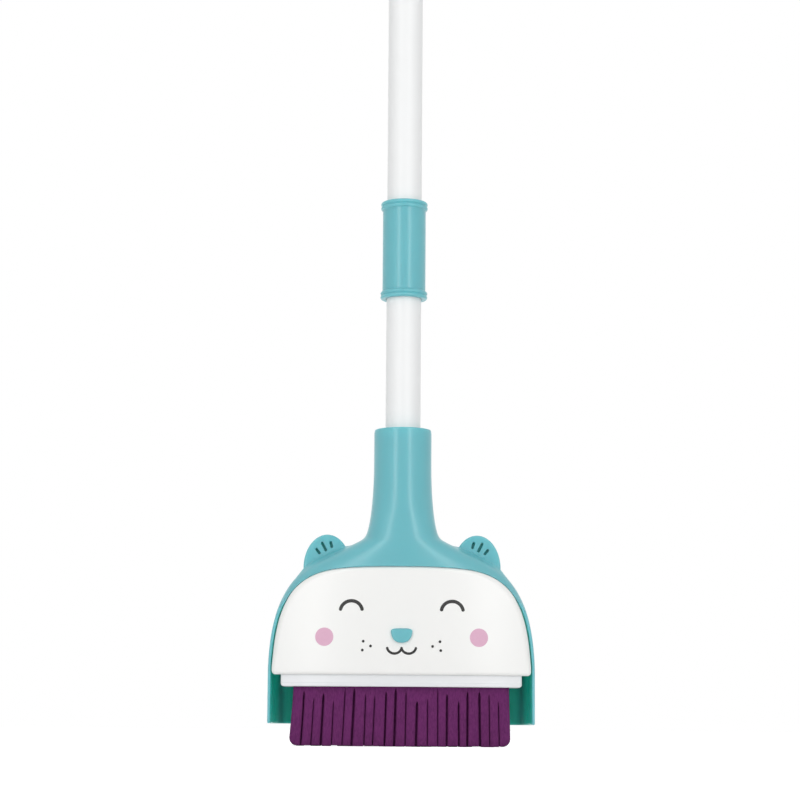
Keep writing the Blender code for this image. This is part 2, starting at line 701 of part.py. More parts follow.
def make_nose():
    """The nose button, its stem through the face, and the push-on retainer behind."""
    seat = -FACE_FRONT - CLEARANCE
    tip = -FACE_FRONT - NOSE_PROUD
    outline = []
    for i in range(ROUND_SIDES):
        turn = 2 * math.pi * i / ROUND_SIDES
        across, up = math.cos(turn), math.sin(turn)
        corner = NOSE_TOP_CORNER if up > 0 else NOSE_CHIN_CORNER
        rise = up * NOSE_TOP_BULGE if up > 0 else up
        level = (rise + (1 - NOSE_TOP_BULGE) / 2) / (1 + NOSE_TOP_BULGE)
        outline.append((NOSE_WIDTH / 2 * math.copysign(abs(across) ** corner, across), NOSE_HEIGHT * level))
    rings = [[(x, seat, NOSE_CENTRE + z) for x, z in outline]]
    rings.append([(x, tip + NOSE_EDGE, NOSE_CENTRE + z) for x, z in outline])
    share = 1 - NOSE_EDGE / NOSE_HEIGHT
    rings.append([(x * share, tip, NOSE_CENTRE + z * share) for x, z in outline])
    nose = object_of("nose", skin(rings), TEAL_PLASTIC)
    washer_front = -FACE_FRONT + FACE_WALL + CLEARANCE
    washer_back = washer_front + RETAINER_THICKNESS
    stem_radius = NOSE_STEM_DIAMETER / 2
    stem = bar(stem_radius, tip + NOSE_EDGE, washer_back + NOSE_STEM_TAIL, PIN_SIDES)
    join(nose, along_y(stem, 0, NOSE_CENTRE))

    washer = turned(
        [
            (stem_radius + CLEARANCE, washer_front),
            (RETAINER_DIAMETER / 2, washer_front),
            (RETAINER_DIAMETER / 2, washer_back),
            (stem_radius + CLEARANCE, washer_back),
        ]
    )
    retainer = object_of("nose_retainer", along_y(washer, 0, NOSE_CENTRE), SCREW_STEEL)
    return [nose, retainer]


def make_block():
    """The white bar that grips the fringe."""
    lip = BLOCK_FRONT - BLOCK_LIP_PROUD
    block = object_of(
        "brush_block",
        bowed_bar(
            BLOCK_HALF_WIDTH,
            [
                (lip, BLOCK_BOTTOM),
                (lip, BLOCK_BOTTOM + BLOCK_LIP_HEIGHT),
                (BLOCK_FRONT, BLOCK_BOTTOM + BLOCK_LIP_HEIGHT + BLOCK_LIP_PROUD),
                (BLOCK_FRONT, BLOCK_TOP),
                (BLOCK_BACK, BLOCK_TOP),
                (BLOCK_BACK, BLOCK_BOTTOM),
            ],
        ),
        WHITE_PLASTIC,
    )
    slot_bottom = BLOCK_BOTTOM - OVERSHOOT
    slot = [
        (SLOT_FRONT, slot_bottom),
        (SLOT_FRONT, SLOT_TOP),
        (SLOT_BACK, SLOT_TOP),
        (SLOT_BACK, slot_bottom),
    ]
    cut(block, bowed_bar(FRINGE_HALF_WIDTH + CLEARANCE, slot))
    for x in block_screw_places():
        start = SLOT_FRONT + bow(x) - SCREW_BITE - CLEARANCE
        cut(block, drill(x, BLOCK_SCREW_LEVEL, start, BLOCK_BACK + bow(x) + OVERSHOOT))
    return [block]


def block_screw_places():
    """Where the screws cross the fringe."""
    return (-BLOCK_SCREW_SPREAD, 0.0, BLOCK_SCREW_SPREAD)


def fringe_edges(shifted):
    """The x of each strip's two edges, in turn from left to right."""
    pitch = FRINGE_WIDTH / STRIP_COUNT
    first = pitch / 2 if shifted else pitch
    edges = [-FRINGE_HALF_WIDTH]
    slit = -FRINGE_HALF_WIDTH + first
    while slit < FRINGE_HALF_WIDTH - pitch / 4:
        edges += [slit - SLIT_WIDTH / 2, slit + SLIT_WIDTH / 2]
        slit += pitch
    edges.append(FRINGE_HALF_WIDTH)
    return edges


def felt_comb(shifted, depth):
    """One felt layer as a closed comb: a whole band above and separate strips below."""
    edges = fringe_edges(shifted)
    levels = (0.0, SLIT_HEIGHT, FELT_TOP)
    mesh = bmesh.new()
    grids = []
    for y in (depth, depth + FELT_THICKNESS):
        grid = {}
        for column, x in enumerate(edges):
            for row, z in enumerate(levels):
                lean = 1 + FRINGE_FLARE / FRINGE_HALF_WIDTH * (row == 0)
                grid[column, row] = mesh.verts.new((x * lean, y, z))
        grids.append(grid)
    front, back = grids
    sides = {}
    for column in range(len(edges) - 1):
        is_slit = column % 2 == 1
        for row in (1,) if is_slit else (0, 1):
            ring = [(column, row), (column + 1, row), (column + 1, row + 1), (column, row + 1)]
            mesh.faces.new([front[corner] for corner in ring])
            mesh.faces.new([back[corner] for corner in reversed(ring)])
            for pair in zip(ring, ring[1:] + ring[:1]):
                key = frozenset(pair)
                sides[key] = None if key in sides else pair
    for start, end in filter(None, sides.values()):
        mesh.faces.new((front[end], front[start], back[start], back[end]))
    return bowed(mesh)


def make_fringe():
    """The stack of felt layers, slit half a strip apart in turn and holed for the screws."""
    layers = []
    for i in range(FELT_LAYERS):
        depth = FELT_FRONT + i * FELT_PITCH
        layer = object_of(f"fringe_layer_{i + 1}", felt_comb(i % 2 == 1, depth), PURPLE_FELT)
        for x in block_screw_places():
            start = depth + bow(x) - FELT_THICKNESS
            cut(layer, drill(x, BLOCK_SCREW_LEVEL, start, start + 3 * FELT_THICKNESS))
        layers.append(layer)
    return layers


def make_cover():
    """The rear cover with the channels that ride the hood's rails, and its screws."""
    inset = FACE_DRAFT + COVER_INSET

    def section(x, z):
        return [
            (x, COVER_FRONT, COVER_BOTTOM),
            (x, COVER_FRONT, z),
            (x, COVER_BACK, z),
            (x, COVER_BACK, COVER_BOTTOM),
        ]

    plate = bowed_arch(FACE_HALF_WIDTH - inset, FACE_TOP - inset, section)
    cover = object_of("rear_cover", plate, WHITE_PLASTIC)
    rail_back = COVER_BACK + bow(RAIL_SPREAD + RAIL_THICKNESS)
    for side in (-1, 1):
        x = side * RAIL_SPREAD
        root = COVER_FRONT + COVER_WALL / 2 + bow(RAIL_SPREAD)
        low = (x - CHANNEL_OUTER, root, CHANNEL_FLOOR - CHANNEL_WALL)
        high = (x + CHANNEL_OUTER, rail_back + CHANNEL_REACH, CHANNEL_FLOOR + CHANNEL_LENGTH)
        join(cover, box(low, high))
        low = (x - CHANNEL_INNER, rail_back, CHANNEL_FLOOR)
        high = (x + CHANNEL_INNER, high[1] + OVERSHOOT, high[2] + OVERSHOOT)
        cut(cover, box(low, high))

    screws = []
    for i, x in enumerate(block_screw_places()):
        seat = COVER_BACK + bow(abs(x) + SCREW_HEAD_RADIUS) + CLEARANCE
        length = seat - SLOT_FRONT - bow(x) + SCREW_BITE
        cut(cover, drill(x, BLOCK_SCREW_LEVEL, COVER_FRONT - OVERSHOOT, seat + OVERSHOOT))
        screws.append(screw(f"block_screw_{i + 1}", x, BLOCK_SCREW_LEVEL, seat, length))
    for i, x in enumerate((-BOSS_SPREAD, BOSS_SPREAD)):
        seat = COVER_BACK + bow(BOSS_SPREAD + SCREW_HEAD_RADIUS) + CLEARANCE
        cut(cover, drill(x, BOSS_LEVEL, COVER_FRONT - OVERSHOOT, seat + OVERSHOOT))
        screws.append(screw(f"face_screw_{i + 1}", x, BOSS_LEVEL, seat, FACE_SCREW_LENGTH))
    return [cover, *screws]


def sleeve_profile():
    """The coupling sleeve's outline: two beads at each end, and a stop ring half way up the bore."""

    def beads(end, up):
        points = []
        for bead in (0, 1):
            start = end + up * bead * BEAD_HEIGHT
            points.append((SLEEVE_RADIUS, start))
            for share in BEAD_CROWN:
                points.append((SLEEVE_RADIUS + BEAD_PROUD, start + up * share * BEAD_HEIGHT))
        points.append((SLEEVE_RADIUS, end + up * 2 * BEAD_HEIGHT))
        return points

    stop_low = SLEEVE_MIDDLE - SLEEVE_STOP_HEIGHT / 2
    stop_high = SLEEVE_MIDDLE + SLEEVE_STOP_HEIGHT / 2
    stop_radius = SOCKET_RADIUS - SLEEVE_STOP_REACH
    bore = [
        (SOCKET_RADIUS, stop_high),
        (stop_radius, stop_high),
        (stop_radius, stop_low),
        (SOCKET_RADIUS, stop_low),
    ]
    outside = beads(SLEEVE_BOTTOM, 1) + list(reversed(beads(SLEEVE_TOP, -1)))
    return outside + [(SOCKET_RADIUS, SLEEVE_TOP), *bore, (SOCKET_RADIUS, SLEEVE_BOTTOM)]


def tube(name, bottom, top):
    """One plain tube of the handle."""
    ends = [(TUBE_BORE, bottom), (TUBE_RADIUS, bottom), (TUBE_RADIUS, top), (TUBE_BORE, top)]
    return object_of(name, turned(ends), WHITE_PLASTIC)


def make_lower_handle():
    """The lower tube in the neck, the coupling sleeve on it and the sleeve's screw."""
    stop = SLEEVE_STOP_HEIGHT / 2 + CLEARANCE
    lower = tube("lower_tube", SOCKET_BOTTOM + CLEARANCE, SLEEVE_MIDDLE - stop)
    sleeve = object_of("coupling_sleeve", turned(sleeve_profile()), TEAL_PLASTIC)
    seat = SLEEVE_RADIUS - SLEEVE_WALL / 2
    for level in (NECK_SCREW_LEVEL, SLEEVE_SCREW_LEVEL):
        cut(lower, drill(0, level, 0, TUBE_RADIUS + OVERSHOOT))
    cut(sleeve, drill(0, SLEEVE_SCREW_LEVEL, 0, SLEEVE_RADIUS))
    counterbore = SCREW_HEAD_RADIUS + CLEARANCE
    cut(sleeve, drill(0, SLEEVE_SCREW_LEVEL, seat, SLEEVE_RADIUS + OVERSHOOT, counterbore))
    length = seat - TUBE_BORE + SCREW_BITE + SCREW_DIAMETER
    return [lower, sleeve, screw("sleeve_screw", 0, SLEEVE_SCREW_LEVEL, seat + CLEARANCE, length)]


def make_upper_handle():
    """The upper tube and its end cap with a hanging hole."""
    upper = tube("upper_tube", SLEEVE_MIDDLE + SLEEVE_STOP_HEIGHT / 2 + CLEARANCE, UPPER_TUBE_TOP)
    spigot = TUBE_BORE - CLEARANCE
    spigot_bottom = UPPER_TUBE_TOP - CAP_SPIGOT_LENGTH
    flange = TUBE_RADIUS + CAP_FLANGE_PROUD
    flange_bottom = UPPER_TUBE_TOP + CLEARANCE
    flange_top = flange_bottom + CAP_FLANGE_HEIGHT
    profile = [
        (spigot - CAP_EDGE, spigot_bottom),
        (spigot, spigot_bottom + CAP_EDGE),
        (spigot, flange_bottom),
        (flange, flange_bottom),
        (flange, flange_top - CAP_EDGE),
        (flange - CAP_EDGE, flange_top),
    ]
    cap = object_of("end_cap", skin([circle(*corner) for corner in profile]), TEAL_PLASTIC)
    hole_level = flange_top + CAP_TAB_STEM
    outline = [(CAP_TAB_RADIUS, flange_top - CAP_EDGE)]
    for i in range(ROUND_SIDES // 2 + 1):
        turn = 2 * math.pi * i / ROUND_SIDES
        outline.append((CAP_TAB_RADIUS * math.cos(turn), hole_level + CAP_TAB_RADIUS * math.sin(turn)))
    outline.append((-CAP_TAB_RADIUS, flange_top - CAP_EDGE))
    half = CAP_TAB_THICKNESS / 2
    join(cap, skin([[(x, y, z) for x, z in outline] for y in (-half, half)]))
    reach = half + OVERSHOOT
    cut(cap, along_y(bar(HANG_HOLE_DIAMETER / 2, -reach, reach), 0, hole_level))
    cut(cap, bar(spigot - CAP_SPIGOT_WALL, spigot_bottom - OVERSHOOT, flange_bottom))
    return [upper, cap]


def main():
    """Build the broom: the brush stands on the floor, the head lifts off it and the upper handle off the head."""
    clear_scene()
    for make in (make_face, make_nose, make_block, make_fringe, make_cover):
        make()
    upper_handle = hang(make_upper_handle(), "upper handle slide", SLEEVE_TOP)
    hang([*make_hood(), *make_lower_handle(), upper_handle], "head slide", RAIL_BOTTOM)


if __name__ == "__main__":
    main()
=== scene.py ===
"""Looks of a toy broom: an eared hood with a scoop back, a pull-out felt brush and a two-part handle.

Sizes are in millimetres and become metres where a mesh is made. The mouldings are cut as distance
fields on a grid, which gives them the soft edges and fillets of moulded plastic.
"""

import logging
import math
from dataclasses import dataclass
from enum import Enum
from typing import Any, Sequence

import bmesh
import bpy
import numpy as np
from mathutils import Euler, Matrix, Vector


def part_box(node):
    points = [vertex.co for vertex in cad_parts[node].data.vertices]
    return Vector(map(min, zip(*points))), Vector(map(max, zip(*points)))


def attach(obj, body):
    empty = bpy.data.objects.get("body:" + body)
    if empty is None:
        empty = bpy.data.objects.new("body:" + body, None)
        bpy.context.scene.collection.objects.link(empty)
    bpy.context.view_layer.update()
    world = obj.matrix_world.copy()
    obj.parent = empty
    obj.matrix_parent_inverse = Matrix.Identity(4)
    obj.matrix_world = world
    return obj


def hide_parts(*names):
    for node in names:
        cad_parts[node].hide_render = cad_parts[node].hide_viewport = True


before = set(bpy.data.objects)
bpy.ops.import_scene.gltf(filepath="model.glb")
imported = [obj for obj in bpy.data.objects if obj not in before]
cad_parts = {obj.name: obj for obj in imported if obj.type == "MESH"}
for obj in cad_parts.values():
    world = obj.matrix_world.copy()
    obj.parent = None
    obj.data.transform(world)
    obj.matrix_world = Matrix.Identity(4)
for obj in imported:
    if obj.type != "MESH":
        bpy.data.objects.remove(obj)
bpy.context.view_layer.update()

LOG = logging.getLogger("toy_broom")
MM = 0.001  # metres in a millimetre
MIX_COLOUR = 2  # the Mix node's output that holds a colour
TURNED_SIDES = 128
FLATTEST = 1e-4  # the least slope that a field is divided by
TINY = 1e-6  # keeps roots, quotients and signs off zero
ONE_POINT = 1e-12  # points are one when the square of their distance is below this

Array = np.ndarray
Point = tuple[float, float]
Triple = tuple[float, float, float]


class Body(Enum):
    """Names of the material slots."""

    HEAD = "head"
    BRUSH = "brush"
    UPPER_HANDLE = "upper_handle"


class Slot(Enum):
    """The record's material slots."""

    TEAL = "teal_plastic"
    WHITE = "white_plastic"
    TUBE = "tube_plastic"
    FELT = "purple_felt"
    STEEL = "screw_steel"


# ---------------------------------------------------------------- finishes


def linear(hex_colour: str) -> tuple[float, float, float, float]:
    """Turn an sRGB hex value into a linear colour.

    Args:
        hex_colour: Six hex digits after a hash sign.

    Returns:
        Linear red, green, blue and an alpha of one.
    """
    parts = [int(hex_colour[i : i + 2], 16) / 255 for i in (1, 3, 5)]
    red, green, blue = (p / 12.92 if p <= 0.04045 else ((p + 0.055) / 1.055) ** 2.4 for p in parts)
    return red, green, blue, 1.0


def per_metre(size: float) -> float:
    """Texture scale for a pattern whose features are this many millimetres across."""
    return 1 / (size * MM)


def add_node(
    tree: bpy.types.NodeTree, kind: str, settings: dict[str, Any], inputs: dict[str, Any]
) -> bpy.types.Node:
    """Add a node with its settings and links.

    Args:
        tree: The tree that gets the node.
        kind: The node's type.
        settings: Properties of the node.
        inputs: A value or another node's output for each input, by its identifier or name.

    Returns:
        The node.
    """
    node = tree.nodes.new(kind)
    for name, value in settings.items():
        setattr(node, name, value)
    for name, value in inputs.items():
        socket = next(s for s in node.inputs if name in (s.identifier, s.name))
        if isinstance(value, bpy.types.NodeSocket):
            tree.links.new(value, socket)
        else:
            socket.default_value = value
    return node


@dataclass(frozen=True)
class Finish:
    """A named finish, made into a material once."""

    name: str

    def material(self) -> bpy.types.Material:
        """Make the material, or find it if it is made.

        Returns:
            The material.
        """
        found = bpy.data.materials.get(self.name)
        if found:
            return found
        made = bpy.data.materials.new(self.name)
        made.use_nodes = True
        made.node_tree.nodes.clear()
        surface = self.shader(made.node_tree)
        add_node(made.node_tree, "ShaderNodeOutputMaterial", {}, {"Surface": surface})
        return made

    def shader(self, tree: bpy.types.NodeTree) -> bpy.types.NodeSocket:
        """Build the shader in a tree and give its output."""
        raise NotImplementedError


@dataclass(frozen=True)
class MouldedPlastic(Finish):
    """Injection-moulded ABS: satin skin, faint flow marks, and a deeper colour inside hollow parts.

    Painted shade: the inside of hollow parts is deepened for light bounced many times there, and grooves
    are darkened. Light also comes through thin walls, less of it in a painted dark crease.
    """

    colour: str
    flow_colour: str
    # Painted shade: the inside colour stands in for light bounced many times inside hollows, the groove
    # colour for shade in grooves.
    inside_shade_colour: str
    groove_shade_colour: str
    roughness: float
    smudge: float = 0.0
    through: float = 0.0
    skin_through: float = 0.4
    through_depth: float = 10.5
    flow_size: float = 38.0
    smudge_size: float = 14.0
    grain_size: float = 1.1  # real spark-eroded grain is near 0.1 mm, drawn coarser so that it shows
    grain_height: float = 0.012
    grain_strength: float = 0.35
    smudge_span: Point = (0.3, 0.7)
    through_tint: Triple = (0.5, 1.0, 0.9)
    ior: float = 1.52

    def shader(self, tree: bpy.types.NodeTree) -> bpy.types.NodeSocket:
        """Build flow marks, inner colour, smudged gloss and fine grain.

        Args:
            tree: The material's tree.

        Returns:
            The shader's output.
        """
        place = add_node(tree, "ShaderNodeTexCoord", {}, {}).outputs["Object"]
        noise = "ShaderNodeTexNoise"
        flow, smudge, grain = (
            add_node(tree, noise, {}, {"Vector": place, "Scale": per_metre(size), "Detail": detail})
            for size, detail in ((self.flow_size, 3.0), (self.smudge_size, 4.0), (self.grain_size, 2.0))
        )
        skin = add_node(
            tree,
            "ShaderNodeMix",
            {"data_type": "RGBA"},
            {
                "Factor_Float": flow.outputs["Fac"],
                "A_Color": linear(self.colour),
                "B_Color": linear(self.flow_colour),
            },
        )
        # Painted shade: the hood's inside points are mixed towards a deeper, greener colour.
        inside = add_node(tree, "ShaderNodeAttribute", {"attribute_name": "inside"}, {})
        wall = add_node(
            tree,
            "ShaderNodeMix",
            {"data_type": "RGBA"},
            {
                "Factor_Float": inside.outputs["Fac"],
                "A_Color": skin.outputs[MIX_COLOUR],
                "B_Color": linear(self.inside_shade_colour),
            },
        )
        # Painted shade: points in the ear grooves are mixed towards a dark colour.
        groove = add_node(tree, "ShaderNodeAttribute", {"attribute_name": "groove"}, {})
        base = add_node(
            tree,
            "ShaderNodeMix",
            {"data_type": "RGBA"},
            {
                "Factor_Float": groove.outputs["Fac"],
                "A_Color": wall.outputs[MIX_COLOUR],
                "B_Color": linear(self.groove_shade_colour),
            },
        )
        gloss = add_node(
            tree,
            "ShaderNodeMapRange",
            {},
            {
                "Value": smudge.outputs["Fac"],
                "From Min": self.smudge_span[0],
                "From Max": self.smudge_span[1],
                "To Min": self.roughness - self.smudge,
                "To Max": self.roughness + self.smudge,
            },
        )
        bump = add_node(
            tree,
            "ShaderNodeBump",
            {},
            {
                "Strength": self.grain_strength,
                "Distance": self.grain_height * MM,
                "Height": grain.outputs["Fac"],
            },
        )
        weight = self.through
        if self.through:
            # Painted shade: the crease mark lets less light through, so the scoop's back corner renders
            # darker.
            crease_shade = add_node(tree, "ShaderNodeAttribute", {"attribute_name": "crease_shade"}, {})
            passed = add_node(
                tree,
                "ShaderNodeMapRange",
                {},
                {"Value": inside.outputs["Fac"], "To Min": self.skin_through, "To Max": self.through},
            )
            weight = add_node(
                tree,
                "ShaderNodeMath",
                {"operation": "SUBTRACT", "use_clamp": True},
                {"Value": passed.outputs["Result"], "Value_001": crease_shade.outputs["Fac"]},
            ).outputs["Value"]
        return add_node(
            tree,
            "ShaderNodeBsdfPrincipled",
            {},
            {
                "Base Color": base.outputs[MIX_COLOUR],
                "Roughness": gloss.outputs["Result"],
                "IOR": self.ior,
                "Normal": bump.outputs["Normal"],
                "Subsurface Weight": weight,
                "Subsurface Radius": self.through_tint,
                "Subsurface Scale": self.through_depth * MM,
            },
        ).outputs["BSDF"]


@dataclass(frozen=True)
class ExtrudedPlastic(Finish):
    """Extruded polypropylene tube: white satin with fine die lines along its length."""

    colour: str
    line_colour: str
    roughness: float
    line_size: float = 1.6  # real die lines are near 0.2 mm apart, drawn coarser so that they show
    line_stretch: float = 0.012
    line_height: float = 0.01
    line_strength: float = 0.4
    gloss_spread: float = 0.06
    ior: float = 1.49

    def shader(self, tree: bpy.types.NodeTree) -> bpy.types.NodeSocket:
        """Build die lines in colour, gloss and height.

        Args:
            tree: The material's tree.

        Returns:
            The shader's output.
        """
        place = add_node(tree, "ShaderNodeTexCoord", {}, {}).outputs["Object"]
        stretch = (1, 1, self.line_stretch)
        along = add_node(tree, "ShaderNodeMapping", {}, {"Vector": place, "Scale": stretch})
        lines = add_node(
            tree,
            "ShaderNodeTexNoise",
            {},
            {"Vector": along.outputs["Vector"], "Scale": per_metre(self.line_size), "Detail": 3.0},
        )
        base = add_node(
            tree,
            "ShaderNodeMix",
            {"data_type": "RGBA"},
            {
                "Factor_Float": lines.outputs["Fac"],
                "A_Color": linear(self.colour),
                "B_Color": linear(self.line_colour),
            },
        )
        gloss = add_node(
            tree,
            "ShaderNodeMapRange",
            {},
            {
                "Value": lines.outputs["Fac"],
                "To Min": self.roughness - self.gloss_spread,
                "To Max": self.roughness + self.gloss_spread,
            },
        )
        bump = add_node(
            tree,
            "ShaderNodeBump",
            {},
            {
                "Strength": self.line_strength,
                "Distance": self.line_height * MM,
                "Height": lines.outputs["Fac"],
            },
        )
        return add_node(
            tree,
            "ShaderNodeBsdfPrincipled",
            {},
            {
                "Base Color": base.outputs[MIX_COLOUR],
                "Roughness": gloss.outputs["Result"],
                "IOR": self.ior,
                "Normal": bump.outputs["Normal"],
            },
        ).outputs["BSDF"]


@dataclass(frozen=True)
class NeedleFelt(Finish):
    """Needle-punched polyester felt: matt, with tangled fibres, paler fuzz and a soft sheen."""

    colour: str
    fuzz_colour: str
    shade_colour: str
    fibre_size: float = 0.7  # real fibres are near 0.03 mm, drawn coarser so that they show
    fibre_stretch: float = 0.28
    clump_size: float = 7.0
    fibre_height: float = 0.14
    fibre_strength: float = 0.7
    fibre_roughness: float = 0.65
    span: Point = (0.36, 0.64)
    roughness: float = 0.95
    ior: float = 1.5
    specular: float = 0.2
    sheen: float = 0.12
    sheen_roughness: float = 0.5

    def shader(self, tree: bpy.types.NodeTree) -> bpy.types.NodeSocket:
        """Build fibres drawn down the strips, clumps of shade, fuzz and sheen.

        Args:
            tree: The material's tree.

        Returns:
            The shader's output.
        """
        place = add_node(tree, "ShaderNodeTexCoord", {}, {}).outputs["Object"]
        stretch = (1, 1, self.fibre_stretch)
        along = add_node(tree, "ShaderNodeMapping", {}, {"Vector": place, "Scale": stretch})
        noise = "ShaderNodeTexNoise"
        fibre = add_node(
            tree,
            noise,
            {},
            {
                "Vector": along.outputs["Vector"],
                "Scale": per_metre(self.fibre_size),
                "Detail": 5.0,
                "Roughness": self.fibre_roughness,
            },
        )
        clump = add_node(
            tree, noise, {}, {"Vector": place, "Scale": per_metre(self.clump_size), "Detail": 3.0}
        )
        spread = {"From Min": self.span[0], "From Max": self.span[1]}
        fuzz = add_node(tree, "ShaderNodeMapRange", {}, {"Value": fibre.outputs["Fac"], **spread})
        shade = add_node(tree, "ShaderNodeMapRange", {}, {"Value": clump.outputs["Fac"], **spread})
        body = add_node(
            tree,
            "ShaderNodeMix",
            {"data_type": "RGBA"},
            {
                "Factor_Float": shade.outputs["Result"],
                "A_Color": linear(self.shade_colour),
                "B_Color": linear(self.colour),
            },
        )
        base = add_node(
            tree,
            "ShaderNodeMix",
            {"data_type": "RGBA"},
            {
                "Factor_Float": fuzz.outputs["Result"],
                "A_Color": body.outputs[MIX_COLOUR],
                "B_Color": linear(self.fuzz_colour),
            },
        )
        bump = add_node(
            tree,
            "ShaderNodeBump",
            {},
            {
                "Strength": self.fibre_strength,
                "Distance": self.fibre_height * MM,
                "Height": fibre.outputs["Fac"],
            },
        )
        return add_node(
            tree,
            "ShaderNodeBsdfPrincipled",
            {},
            {
                "Base Color": base.outputs[MIX_COLOUR],
                "Roughness": self.roughness,
                "IOR": self.ior,
                "Specular IOR Level": self.specular,
                "Sheen Weight": self.sheen,
                "Sheen Roughness": self.sheen_roughness,
                "Sheen Tint": linear(self.fuzz_colour),
                "Normal": bump.outputs["Normal"],
            },
        ).outputs["BSDF"]


@dataclass(frozen=True)
class PadPrint(Finish):
    """Pad-printed ink: a thin satin film with slightly uneven cover."""

    colour: str
    thin_colour: str
    cover_size: float = 2.2
    gloss_span: Point = (0.32, 0.5)
    ior: float = 1.48

    def shader(self, tree: bpy.types.NodeTree) -> bpy.types.NodeSocket:
        """Build the uneven film.

        Args:
            tree: The material's tree.

        Returns:
            The shader's output.
        """
        place = add_node(tree, "ShaderNodeTexCoord", {}, {}).outputs["Object"]
        cover = add_node(
            tree,
            "ShaderNodeTexNoise",
            {},
            {"Vector": place, "Scale": per_metre(self.cover_size), "Detail": 4.0},
        )
        base = add_node(
            tree,
            "ShaderNodeMix",
            {"data_type": "RGBA"},
            {
                "Factor_Float": cover.outputs["Fac"],
                "A_Color": linear(self.colour),
                "B_Color": linear(self.thin_colour),
            },
        )
        low, high = self.gloss_span
        gloss = add_node(
            tree, "ShaderNodeMapRange", {}, {"Value": cover.outputs["Fac"], "To Min": low, "To Max": high}
        )
        return add_node(
            tree,
            "ShaderNodeBsdfPrincipled",
            {},
            {
                "Base Color": base.outputs[MIX_COLOUR],
                "Roughness": gloss.outputs["Result"],
                "IOR": self.ior,
            },
        ).outputs["BSDF"]


@dataclass(frozen=True)
class ZincPlatedSteel(Finish):
    """Zinc-plated steel screws: bright, faintly blotched, with a fine rolled texture."""

    colour: str
    dull_colour: str
    roughness: float
    blotch_size: float = 1.5
    gloss_spread: float = 0.06
    grain_size: float = 0.3
    grain_height: float = 0.01
    grain_strength: float = 0.3

    def shader(self, tree: bpy.types.NodeTree) -> bpy.types.NodeSocket:
        """Build blotches in colour and gloss, and the rolled texture.

        Args:
            tree: The material's tree.

        Returns:
            The shader's output.
        """
        place = add_node(tree, "ShaderNodeTexCoord", {}, {}).outputs["Object"]
        noise = "ShaderNodeTexNoise"
        blotch, grain = (
            add_node(tree, noise, {}, {"Vector": place, "Scale": per_metre(size), "Detail": detail})
            for size, detail in ((self.blotch_size, 3.0), (self.grain_size, 2.0))
        )
        base = add_node(
            tree,
            "ShaderNodeMix",
            {"data_type": "RGBA"},
            {
                "Factor_Float": blotch.outputs["Fac"],
                "A_Color": linear(self.colour),
                "B_Color": linear(self.dull_colour),
            },
        )
        gloss = add_node(
            tree,
            "ShaderNodeMapRange",
            {},
            {
                "Value": blotch.outputs["Fac"],
                "To Min": self.roughness - self.gloss_spread,
                "To Max": self.roughness + self.gloss_spread,
            },
        )
        bump = add_node(
            tree,
            "ShaderNodeBump",
            {},
            {
                "Strength": self.grain_strength,
                "Distance": self.grain_height * MM,
                "Height": grain.outputs["Fac"],
            },
        )
        return add_node(
            tree,
            "ShaderNodeBsdfPrincipled",
            {},
            {
                "Base Color": base.outputs[MIX_COLOUR],
                "Metallic": 1.0,
                "Roughness": gloss.outputs["Result"],
                "Normal": bump.outputs["Normal"],
            },
        ).outputs["BSDF"]


@dataclass(frozen=True)
class PaperSweep(Finish):
    """Matt white studio paper that reads as white to the camera and keeps the shadow on it."""

    colour: str = "#f4f4f4"
    lift: float = 0.58

    def shader(self, tree: bpy.types.NodeTree) -> bpy.types.NodeSocket:
        """Build matt paper with a lift that only the camera and reflections see.

        Args:
            tree: The material's tree.

        Returns:
            The shader's output.
        """
        paper = add_node(tree, "ShaderNodeBsdfDiffuse", {}, {"Color": linear(self.colour)})
        seen = seen_ray(tree)
        amount = add_node(
            tree, "ShaderNodeMath", {"operation": "MULTIPLY"}, {"Value": seen, "Value_001": self.lift}
        )
        glow = add_node(tree, "ShaderNodeEmission", {}, {"Strength": amount.outputs["Value"]})
        both = add_node(tree, "ShaderNodeAddShader", {}, {})
        tree.links.new(paper.outputs["BSDF"], both.inputs[0])
        tree.links.new(glow.outputs["Emission"], both.inputs[1])
        return both.outputs["Shader"]


def seen_ray(tree: bpy.types.NodeTree) -> bpy.types.NodeSocket:
    """One for rays of the camera, of reflections and through glass, and zero for the rest.

    Args:
        tree: The tree that gets the nodes.

    Returns:
        The output that holds that number.
    """
    path = add_node(tree, "ShaderNodeLightPath", {}, {})
    total = path.outputs["Is Camera Ray"]
    for name in ("Is Glossy Ray", "Is Transmission Ray"):
        total = add_node(
            tree,
            "ShaderNodeMath",
            {"operation": "MAXIMUM"},
            {"Value": total, "Value_001": path.outputs[name]},
        ).outputs["Value"]
    return total


# Satin teal with soft highlights. Light comes through its thin walls. The scoop's inside has a painted shade,
# deeper and greener than the skin, and the ear grooves a dark painted shade.
TEAL_ABS = MouldedPlastic(
    "moulded teal ABS",
    colour="#69bac4",
    flow_colour="#6dbdc7",
    inside_shade_colour="#49bbaf",
    groove_shade_colour="#00757c",
    roughness=0.29,
    smudge=0.012,
    through=1.0,
)
# Opaque white, a touch warm, with the same satin gloss.
WHITE_ABS = MouldedPlastic(
    "moulded white ABS",
    colour="#f5f5f3",
    flow_colour="#f6f6f4",
    inside_shade_colour="#f3f3f1",
    groove_shade_colour="#f3f3f1",
    roughness=0.3,
    smudge=0.01,
)
# The face's white with painted shade: cooler and a little greyer, for the bar that sits under the face.
SHADED_WHITE_ABS = MouldedPlastic(
    "moulded white ABS in painted shade",
    colour="#eaecee",
    flow_colour="#ebedef",
    inside_shade_colour="#e8eaec",
    groove_shade_colour="#e8eaec",
    roughness=0.3,
    smudge=0.01,
)
# White tube whose fine lengthwise lines soften the lamps' reflections.
TUBE_PP = ExtrudedPlastic(
    "extruded white polypropylene", colour="#f4f5f5", line_colour="#f2f3f3", roughness=0.4
)
